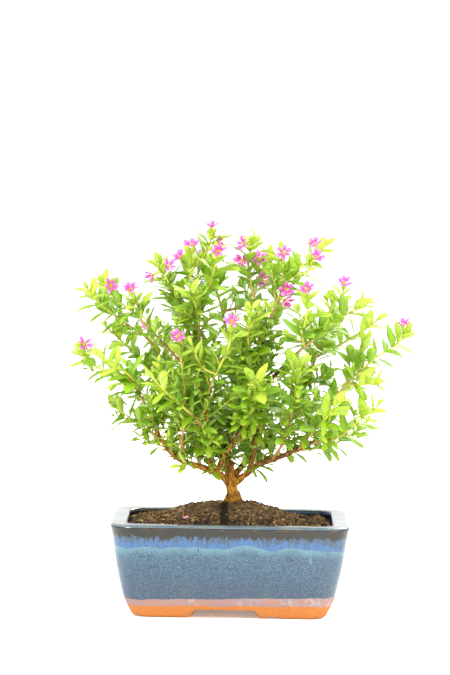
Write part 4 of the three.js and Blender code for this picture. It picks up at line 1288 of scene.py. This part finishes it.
def glaze_finish():
    """Glaze by height: grey-brown under the lip, blue runs, a turquoise roll, a speckled blue
    wall, a thin pinkish line of slip and bare orange clay at the feet."""
    finish = Finish("glazed_clay", roughness=0.2)
    mix, span, noise = finish.mix, finish.span, finish.noise
    x, y, z = finish.millimetres()
    from_middle = abs(x - POT_MIDDLE_X)
    around = finish.value("CombineXYZ", 0, {0: x + y * 0.83})
    scallops = finish.voronoi(0.05, around, "SMOOTH_F1", Smoothness=0.3)
    dips = scallops**1.6 * 6 + span(from_middle, 52, 66, 0.3, 1.9)
    level = z - (noise(60, 3) * 2.6 - dips)
    speck = noise(820, 3, roughness=0.8)
    dots = span(finish.voronoi(620), 0.14, 0.4, 1, 0)
    grain = span(speck, 0.4, 0.62)

    wall_low = mix(grain, (0.023, 0.042, 0.073), (0.052, 0.085, 0.128))
    wall_high = mix(grain, (0.019, 0.048, 0.086), (0.06, 0.128, 0.182))
    wall = mix(span(z, 14, 48), wall_low, wall_high)
    wall = mix(span(noise(60, 3), 0.4, 0.75, 0, 0.5), wall, (0.035, 0.058, 0.09))
    green_tint = span(noise(45, 2), 0.5, 0.7) * span(z, 30, 16)
    wall = mix(green_tint * 0.4, wall, (0.05, 0.09, 0.09))
    # Painted highlight: the wall is made lighter and bluer towards both ends of the pot
    wall = mix(span(from_middle, 58, 76, 0, 0.3), wall, (0.05, 0.105, 0.14))
    wall = mix(dots * 0.42, wall, (0.015, 0.027, 0.05))

    fade = span(level, 42, 48.4) * span(level, 49.2, 48.3)
    roll = fade * span(noise(110, 2), 0.25, 0.6, 0.3, 0.8) * span(speck, 0.3, 0.6, 0.75, 1)
    colour = mix(roll, wall, (0.097, 0.2, 0.245))
    for (mark_x, mark_z, wide, high), tone in FIRING_MARKS:
        across = (x - mark_x) / wide
        along = (z - mark_z) / high
        away = across * across + along * along
        here = span(away, 1.6, 0.3) * span(y, -20, -30)
        colour = mix(here * 0.8, colour, tone)

    drawn = finish.stretched((1, 1, 0.3))
    bright_run = mix(dots, (0.034, 0.104, 0.235), (0.022, 0.045, 0.085))
    dull_run = mix(grain, (0.028, 0.05, 0.08), (0.046, 0.078, 0.115))
    run_share = noise(520, 3, drawn) + span(level, 49, 55, 0.12, -0.12)
    runs = mix(span(run_share, 0.36, 0.58), dull_run, bright_run)
    colour = mix(span(level, 48.3, 49.4), colour, runs)

    teeth = (noise(650, 3, drawn) - 0.5) * 9 + noise(120, 2, drawn) * 4
    brown = mix(grain, (0.006, 0.0055, 0.002), (0.018, 0.0165, 0.009))
    colour = mix(span(z + teeth, 55, 57), colour, brown)

    line = span(z, 58.8, 59.5) * span(z, 60.6, 60.0)
    rust = mix(span(noise(160, 3), 0.45, 0.6), (0.008, 0.009, 0.014), (0.06, 0.026, 0.01))
    colour = mix(line * 0.85, colour, rust)
    # The lip's top: its glaze, teal-grey at the front, with a painted highlight that makes it pale
    # grey-white towards both ends
    lip_side_painted_highlight = mix(span(noise(45, 3), 0.35, 0.7), (0.215, 0.225, 0.205), (0.16, 0.19, 0.2))
    lip_front = mix(span(noise(90, 3), 0.4, 0.65), (0.1, 0.13, 0.135), (0.06, 0.1, 0.14))
    lip = mix(span(y, -42, -36), lip_front, lip_side_painted_highlight)
    colour = mix(span(z, POT_HEIGHT - 1.8, POT_HEIGHT - 1.3), colour, lip)

    # Painted shade: the inner face of the lip above the soil is darkened, near black on the left and the
    # dark blue of the glaze towards the right
    half_depth = OPENING_HALF - DEPTH_LESS
    opening_y = span(abs(y), half_depth + 1.2, half_depth + 0.7)
    opening_x = span(from_middle, OPENING_HALF + 1.2, OPENING_HALF + 0.7)
    within = opening_x * opening_y * span(z, 34, 36)
    shaded_inside = mix(span(x, 10, 34), (0.02, 0.017, 0.014), (0.02, 0.038, 0.08))
    colour = mix(within, colour, shaded_inside)

    wander = (noise(90, 3) - 0.5) * 2.2
    slip_top = z - (x * 0.022 + 13.9) - wander
    clay_top = z - (x * 0.008 + 8.6) - wander * 1.4
    slip = mix(span(noise(70, 2), 0.35, 0.65), (0.29, 0.165, 0.13), (0.25, 0.165, 0.165))
    chalk = span(noise(300, 5), 0.48, 0.62) * span(noise(40, 2), 0.45, 0.6)
    slip = mix(chalk * 0.7, slip, (0.34, 0.29, 0.26))
    clay = mix(span(noise(800, 5), 0.3, 0.75), (0.37, 0.115, 0.018), (0.44, 0.155, 0.026))
    clay = mix(span(noise(120, 3), 0.55, 0.75, 0, 0.4), clay, (0.47, 0.19, 0.04))
    slip = mix(span(clay_top, -0.3, 0.3), clay, slip)
    colour = mix(span(slip_top, -0.25, 0.25), slip, colour)
    finish.set(Base_Color=colour, Roughness=span(slip_top, -0.25, 0.25, 0.85, 0.16))
    finish.bump(speck * 0.25 + noise(2200, 3) * 0.2, 0.3, 0.25)
    return finish.material


# Soil: a rough mound with crumbs, root fibres and a few fallen bits on it
def soil_height(x, y):
    reach = MOUND_REACH[0] if x < TRUNK_X else MOUND_REACH[1]
    spread = abs((x - TRUNK_X) / reach) ** 3 + abs((y - TRUNK_Y) / MOUND_REACH[2]) ** 3
    return SOIL_EDGE + MOUND_RISE * math.exp(-spread * MOUND_FALL)


def soil_surface(x, y):
    lumps = rough(x, y, 0, 7, 11) * 1.1 + rough(x, y, 0, 2.6, 4) * 0.8 + rough(x, y, 0, 1.1, 6) * 0.4
    return soil_height(x, y) + lumps


def soil_finish():
    finish = Finish("soil", roughness=0.95)
    mix, span, noise = finish.mix, finish.span, finish.noise
    fine = noise(1300, 6, roughness=0.75)
    colour = mix(span(fine, 0.35, 0.68), (0.008, 0.005, 0.004), (0.075, 0.042, 0.018))
    colour = mix(span(noise(240, 4), 0.52, 0.7, 0, 0.5), colour, (0.1, 0.055, 0.02))
    chance, kind = finish.values("tint")[:2]
    dark = mix(span(chance, 0.0, 0.5), (0.014, 0.009, 0.007), (0.1, 0.05, 0.025))
    loose = mix(span(chance, 0.35, 0.9), dark, (0.34, 0.212, 0.075))
    loose = mix(span(fine, 0.4, 0.7, 0.35, 0), loose, (0.02, 0.012, 0.008))
    colour = mix(kind, colour, loose)
    x, y, z = finish.millimetres()
    # Painted light: the soil is made lighter higher up the mound, against the shade the crown casts on it
    mound_painted_light = span(z, SOIL_EDGE + 4, SOIL_EDGE + 10, 0, 0.24)
    colour = mix(mound_painted_light, colour, (0.24, 0.16, 0.08))
    # Painted shadow: the trunk's shadow, a dark streak on the soil from the trunk's foot towards the front
    off_trunk_shadow = abs(x - TRUNK_SHADOW_X)
    trunk_shadow = span(off_trunk_shadow, 1.6, 4.2, 0.85, 0) * span(y, -4, 2, 1, 0)
    colour = mix(trunk_shadow, colour, (0.006, 0.004, 0.003))
    finish.set(Base_Color=colour, Specular_IOR_Level=0.2)
    finish.bump(fine, 1.0, 0.7)
    return finish.material


MOUND_LEVELS = 46


def mound_rings():
    """Rings over the mound, from the edge of the soil in to the trunk."""
    half = OPENING_HALF - GAP
    middle = np.array([TRUNK_X, TRUNK_Y])
    rings = []
    for level in range(MOUND_LEVELS + 1):
        ring = plan(half, corner_at(OPENING_HALF), 0)
        ring[:, :2] = middle + (ring[:, :2] - middle) * (1 - 0.985 * level / MOUND_LEVELS)
        for place in ring:
            height = soil_surface(place[0], place[1])
            place[2] = height if level else min(height, SOIL_EDGE + 0.6)
        rings.append(ring)
    return rings


def make_soil(material):
    halves = [RIM_HALF - WALL_THICKNESS - inset - GAP for inset, _ in reversed(CAVITY_PROFILE)]
    heights = [z for _, z in reversed(CAVITY_PROFILE)]
    heights[0] = INNER_FLOOR + GAP + 1.4
    heights[-1] = LIP_UNDERSIDE - GAP
    rings = [plan(half, corner_at(half), z) for half, z in zip(halves, heights)]
    rings.append(plan(OPENING_HALF - GAP, corner_at(OPENING_HALF), LIP_UNDERSIDE - GAP))
    shape = Shape()
    shape.add(*lofted(rings + mound_rings()))
    return settle(shape.build("potting_soil", material), "soil", "soil")


GOLDEN = (1 + math.sqrt(5)) / 2
BALL_CORNERS = np.array([
    (-1, GOLDEN, 0), (1, GOLDEN, 0), (-1, -GOLDEN, 0), (1, -GOLDEN, 0),
    (0, -1, GOLDEN), (0, 1, GOLDEN), (0, -1, -GOLDEN), (0, 1, -GOLDEN),
    (GOLDEN, 0, -1), (GOLDEN, 0, 1), (-GOLDEN, 0, -1), (-GOLDEN, 0, 1),
])
BALL_FACES = [
    (0, 11, 5), (0, 5, 1), (0, 1, 7), (0, 7, 10), (0, 10, 11), (1, 5, 9), (5, 11, 4), (11, 10, 2),
    (10, 7, 6), (7, 1, 8), (3, 9, 4), (3, 4, 2), (3, 2, 6), (3, 6, 8), (3, 8, 9), (4, 9, 5),
    (2, 4, 11), (6, 2, 10), (8, 6, 7), (9, 8, 1),
]


def lump(radius, stretch, seed):
    """A small irregular crumb: a twenty-sided ball pushed in and out."""
    generator = random.Random(seed)
    places = unit(BALL_CORNERS) * radius
    places = places * np.array([[0.75 + generator.random() * 0.5] for _ in BALL_CORNERS])
    turn = generator.random() * math.pi * 2
    spin = np.array([[math.cos(turn), -math.sin(turn), 0], [math.sin(turn), math.cos(turn), 0], [0, 0, 1]])
    return (places * np.array(stretch)) @ spin.T, BALL_FACES


CRUMBS = 3000
CRUMB_SEED = 5
CRUMB_EDGE = 2.2
FIBRES = 2400
FIBRE_SEED = 9
FIBRE_EDGE = 5
FIBRE_STEPS = 7
FIBRE_RADII = np.array([0.5, 0.9, 1, 1, 1, 0.9, 0.7, 0.3])
FIBRE_MARGIN = 1.2
TRUNK_CLEARANCE = 5


def surface_spot(generator, edge):
    """A random place on the soil's surface, off the lip and the trunk."""
    while True:
        x = POT_MIDDLE_X + (generator.random() * 2 - 1) * (OPENING_HALF - edge)
        y = (generator.random() * 2 - 1) * (OPENING_HALF - DEPTH_LESS - edge)
        if math.hypot(x - TRUNK_X, y - TRUNK_Y) > TRUNK_CLEARANCE:
            return x, y


def make_crumbs(material):
    generator = random.Random(CRUMB_SEED)
    shape = Shape()
    for index in range(CRUMBS):
        x, y = surface_spot(generator, CRUMB_EDGE)
        radius = 0.4 + generator.random() ** 2.5 * 1.5
        stretch = (1 + generator.random() * 0.5, 0.8, 0.6 + generator.random() * 0.3)
        places, faces = lump(radius, stretch, index)
        tone = generator.random() ** 1.8
        shape.add(places + (x, y, soil_surface(x, y) + radius * 0.25), faces, (tone, 1, 0))
    return settle(shape.build("soil_crumbs", material, smooth=False), "soil")


def fibre_path(generator):
    """A curling root fibre that arches over the soil, and its last place."""
    x, y = surface_spot(generator, FIBRE_EDGE)
    heading = generator.random() * math.pi * 2
    step_length = (2.5 + generator.random() ** 2 * 8) / FIBRE_STEPS
    curl = (generator.random() - 0.5) * 2.4 / FIBRE_STEPS
    rise = 0.3 + generator.random() ** 2 * 1.9
    path = []
    for step in range(FIBRE_STEPS + 1):
        arch = rise * math.sin(step / FIBRE_STEPS * math.pi)
        path.append((x, y, soil_surface(x, y) + 0.3 + arch))
        heading += curl + (generator.random() - 0.5) * 0.35
        x += math.cos(heading) * step_length
        y += math.sin(heading) * step_length
    return path, x, y


def make_fibres(material):
    generator = random.Random(FIBRE_SEED)
    limit = OPENING_HALF - FIBRE_MARGIN
    shape = Shape()
    for _ in range(FIBRES):
        path, x, y = fibre_path(generator)
        if abs(x - POT_MIDDLE_X) <= limit and abs(y) <= limit - DEPTH_LESS:
            thick = 0.12 + generator.random() ** 2 * 0.3
            shape.add(*tube(path, thick * FIBRE_RADII, 4), (generator.random(), 1, 0))
    return settle(shape.build("soil_fibres", material), "soil")


def plain_finish(name, colour, shade):
    """Two shades of one colour in fine patches, with a fine grain."""
    finish = Finish(name, roughness=0.7)
    finish.set(Base_Color=finish.mix(finish.span(finish.noise(900, 3), 0.35, 0.65), colour, shade))
    finish.bump(finish.noise(1800, 3), 0.4, 0.2)
    return finish.material


# Fallen bits: name, colour, its shade, size and places on the soil
BITS = [
    ("fallen_petal", (0.62, 0.1, 0.32), (0.7, 0.3, 0.5), 1.3, [(-35, -22), (-33.4, -21.5)]),
    ("white_grit", (0.7, 0.68, 0.6), (0.5, 0.46, 0.38), 0.7,
     [(-17.6, -30), (-12.8, -33), (-49, -26), (6, -29)]),
    ("yellow_grit", (0.5, 0.33, 0.05), (0.35, 0.2, 0.03), 0.9,
     [(31, -2), (52, -30), (-20, -34), (-8, -20)]),
    ("moss", (0.16, 0.22, 0.01), (0.3, 0.33, 0.02), 1.1, [(-65, -10), (-63.5, -12), (-64.6, -8)]),
]


BIT_STRETCH = (1.3, 0.9, 0.5)
BIT_SEED = 70


def make_bits():
    for name, colour, shade, size, spots in BITS:
        shape = Shape()
        for index, (x, y) in enumerate(spots):
            places, faces = lump(size, BIT_STRETCH, BIT_SEED + index)
            shape.add(places + (x, y, soil_surface(x, y) + size), faces)
        settle(shape.build(name, plain_finish(name, colour, shade), smooth=False), "soil")


def net_finish():
    finish = Finish("net", roughness=0.55)
    mix, span, noise = finish.mix, finish.span, finish.noise
    tone = span(noise(900, 4), 0.35, 0.7)
    finish.set(Base_Color=mix(tone, (0.01, 0.012, 0.011), (0.03, 0.034, 0.03)))
    finish.bump(noise(2500, 3), 0.3, 0.1)
    return finish.material


# Studio: a white floor, soft lights and the camera
FLOOR_REACH = 4000
FLOOR_DROP = 0.05
WORLD_STRENGTH = 1.35
LIT_PLACE = (0, 0, 0.13)
LIGHTS = {
    "key": {"place": (-0.7, -1.1, 1.5), "size": 0.7, "watts": 42},
    "fill": {"place": (1.2, -1.0, 0.9), "size": 0.9, "watts": 12},
    "back": {"place": (0.5, 1.2, 1.1), "size": 0.8, "watts": 36},
}
CAMERA_PLACE = (0.0038, -2.036, 0.334)
CAMERA_YAW = -0.412
CAMERA_PITCH = 4.33
CAMERA_ROLL = 0.848
FOCAL_PIXELS = 3120.0
FRAME_HEIGHT = 675
FILM_WIDTH = 36
CAMERA_FAR = 30


def make_floor():
    """A white table that is softly lit from beneath, as for a picture without shadows."""
    finish = Finish("floor", roughness=0.9)
    mix, span, noise = finish.mix, finish.span, finish.noise
    tone = span(noise(3, 2), 0.3, 0.7)
    finish.set(Base_Color=mix(tone, (0.93, 0.925, 0.9), (0.95, 0.95, 0.94)))
    finish.set(Emission_Color=(1, 0.93, 0.84), Emission_Strength=0.27)
    shape = Shape()
    corners = [(-1, -1), (1, -1), (1, 1), (-1, 1)]
    shape.add([(x * FLOOR_REACH, y * FLOOR_REACH, -FLOOR_DROP) for x, y in corners], [(0, 1, 2, 3)])
    floor = shape.build("floor", finish.material)


def add_light(name, place, size, watts):
    data = bpy.data.lights.new(name, "AREA")
    data.shape = "DISK"
    data.size = size
    data.energy = watts
    light = bpy.data.objects.new(name, data)
    light.location = place
    light.rotation_euler = (Vector(LIT_PLACE) - Vector(place)).to_track_quat("-Z", "Y").to_euler()
    bpy.context.scene.collection.objects.link(light)


def make_studio():
    scene = bpy.context.scene
    scene.world = bpy.data.worlds.new("studio")
    scene.world.use_nodes = True
    background = scene.world.node_tree.nodes["Background"]
    background.inputs["Color"].default_value = (1, 1, 1, 1)
    background.inputs["Strength"].default_value = WORLD_STRENGTH
    for name, light in LIGHTS.items():
        add_light(name, **light)
    scene.view_settings.view_transform = "Standard"
    scene.view_settings.look = "None"


def make_camera():
    """The photograph's view, turned by a yaw, a pitch and a roll in degrees."""
    data = bpy.data.cameras.new("camera")
    data.sensor_width = FILM_WIDTH
    data.lens = FOCAL_PIXELS / FRAME_HEIGHT * FILM_WIDTH
    data.clip_end = CAMERA_FAR
    camera = bpy.data.objects.new("camera", data)
    camera.location = CAMERA_PLACE
    yaw, pitch = math.radians(CAMERA_YAW), math.radians(CAMERA_PITCH)
    level = math.cos(pitch)
    forward = Vector((math.sin(yaw) * level, math.cos(yaw) * level, -math.sin(pitch)))
    roll = Quaternion((0, 0, 1), math.radians(CAMERA_ROLL))
    camera.rotation_mode = "QUATERNION"
    camera.rotation_quaternion = forward.to_track_quat("-Z", "Y") @ roll
    bpy.context.scene.collection.objects.link(camera)
    bpy.context.scene.camera = camera


foliage = foliage_finish()
petals = petal_finish()
soil = soil_finish()
for spray_name in SPRAYS:
    make_spray(spray_name, foliage)
for limb_name in LIMBS:
    make_limb_shoots(limb_name, foliage)
for number in range(len(BLOOMS)):
    make_bloom(number, petals)
make_trunk(bark_finish())
make_pot(glaze_finish())
make_soil(soil)
make_crumbs(soil)
make_fibres(soil)
make_bits()
net = net_finish()
for node in ("drain_mesh_left", "drain_mesh_right"):
    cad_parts[node].data.materials.clear()
    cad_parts[node].data.materials.append(net)
make_floor()
make_studio()
make_camera()

bpy.context.view_layer.update()
